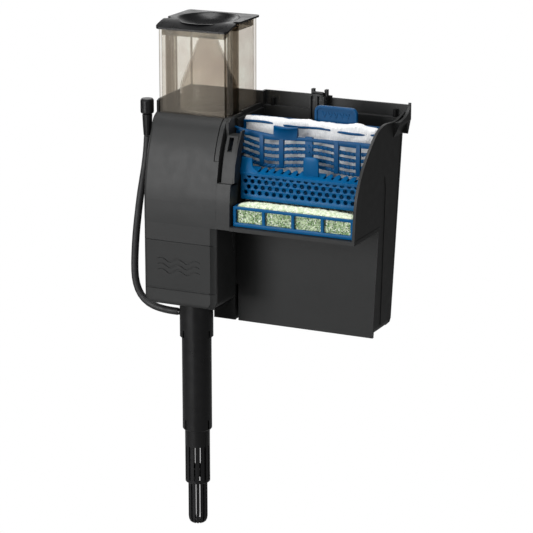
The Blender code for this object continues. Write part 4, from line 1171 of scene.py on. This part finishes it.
def make_sponge_pad():
    """The bio sponge: open foam, crowned behind its holder's front rail and tucked under the tray."""
    def crowned(x, y, z):
        across = 1 - ((x - 0.5) / 58) ** 8
        if z > 12:
            rise = 4.2 * math.exp(-(((y + 33.0) / 6.5) ** 2)) * across * (z - 12) / 9.5
            z += rise
        return x, y, z

    pad = soft_block("sponge_pad", (-55.2, -40.3, 5.2), (57.2, -2, 21.3), 1.25, 2.6, crowned,
                     ((7, 0.5, 3), (2.4, 0.6, 11), (1.2, 0.45, 23)))
    piece(pad, "sponge_holder", SPONGE, ["bio_sponge"], angle=180, edge=0)


def make_cartridge():
    """The filter cartridge: a floss bag on a blue frame, with a carbon pad behind and a marked pull tab."""
    def leaning(x, y, z):
        x = min(x, right_x(z) - 4.6)
        lift = 1.3 * math.exp(-(((x + 6) / 5) ** 2)) + 1.6 * math.exp(-(((x - 41) / 6) ** 2)) if z > 85 else 0.0
        swell = 0.6 * math.sin(x / 13.0) if y < 6 else 0.0
        return x, y - swell, z + lift * (z - 85) / 9 - (0.03 * max(0.0, x - 41) if z > 85 else 0)

    bag = soft_block("floss_bag", (-68.7, 2.6, 5.2), (61.2, 11.2, 94.4), 1.9, 3.6, leaning,
                     ((14, 0.8, 5), (4, 0.55, 17), (1.8, 0.35, 29)))
    piece(bag, "cartridge", FLOSS, ["floss_pad"], angle=180, edge=0)

    def behind(x, y, z):
        return min(x, right_x(z) - 5), y, z

    carbon = soft_block("carbon_mat", (-62.7, 11.4, 7.1), (56.5, 14.6, 89.7), 2.6, 1.2, behind,
                        ((9, 0.35, 7), (2.6, 0.3, 13)))
    piece(carbon, "cartridge", CARBON, ["carbon_pad"], angle=180, edge=0)

    def rail_z(x):
        return 89.9 + 0.7 * math.sin((x + 66) / 9.5) - 0.02 * (x + 66)

    parts = [
        ribbon("front_bar", [(x, 3.0 - 0.7 * math.sin(x / 13.0) + 0.35 * math.sin(x / 7), rail_z(x), 2.0, 2.3)
                             for x in span(-67.2, 60.6, 2)], 0.6),
        ribbon("left_bar", [(-67.8, 3.0, 86.5, 2.2, 8.6), (-65.2, 3.0, 86.5, 2.2, 8.6)], 0.6),
        ribbon("back_bar", [(x, 15.6, 91.2, 2.4, 3.4) for x in span(-66, 60.5, 8)], 0.6),
    ]
    for x_top, x_low in ((-65, -64.5), (59.6, 56.2), (20, 20), (-22, -22)):
        parts.append(prism("upright", [(x_low - 1.3, 4), (x_low + 1.3, 4), (x_top + 1.3, 92), (x_top - 1.3, 92)], "Y",
                           14.8, 16.8))
    parts.append(prism("foot_bar", [(-65.5, 4), (57.4, 4), (57.5, 7), (-65.5, 7)], "Y", 12, 16.8))
    tab = plate("pull_tab", [tab_outline(0)], "Y", 12.2, 15.8, 0.7)
    cut(tab, prism("tab_recess", tab_outline(2.6), "Y", 8, 13.2))
    parts.append(tab)
    for i in range(5):
        x = 6.2 + 5.6 * i
        chevron = [(x - 1.8, 102.6), (x, 99.2), (x + 1.8, 102.6), (x + 1.8, 100.8), (x, 97.2), (x - 1.8, 100.8)]
        parts.append(prism("chevron", chevron, "Y", 12.75, 13.6))
    for each in parts:
        shade(each, 40)
    rack = merged("cartridge_rack", parts)
    piece(rack, "cartridge", BLUE_DEEP, ["cartridge_frame"], angle=40, edge=0.25)


def tab_outline(inset):
    left, right = -3.2 + inset, 37.8 - inset
    return tongue_outline(left, right, 89.0 + 1.6 * inset, 107.6 - inset * 0.9, 5.5 - inset * 0.8)


make_camera()
make_hose()
finish_nodes()
make_column()
make_tank()
make_skimmer()
make_intake()
make_foot()
make_grid()
make_tray()
make_sponge_frame()
make_sponge_pad()
make_cartridge()
make_stage()
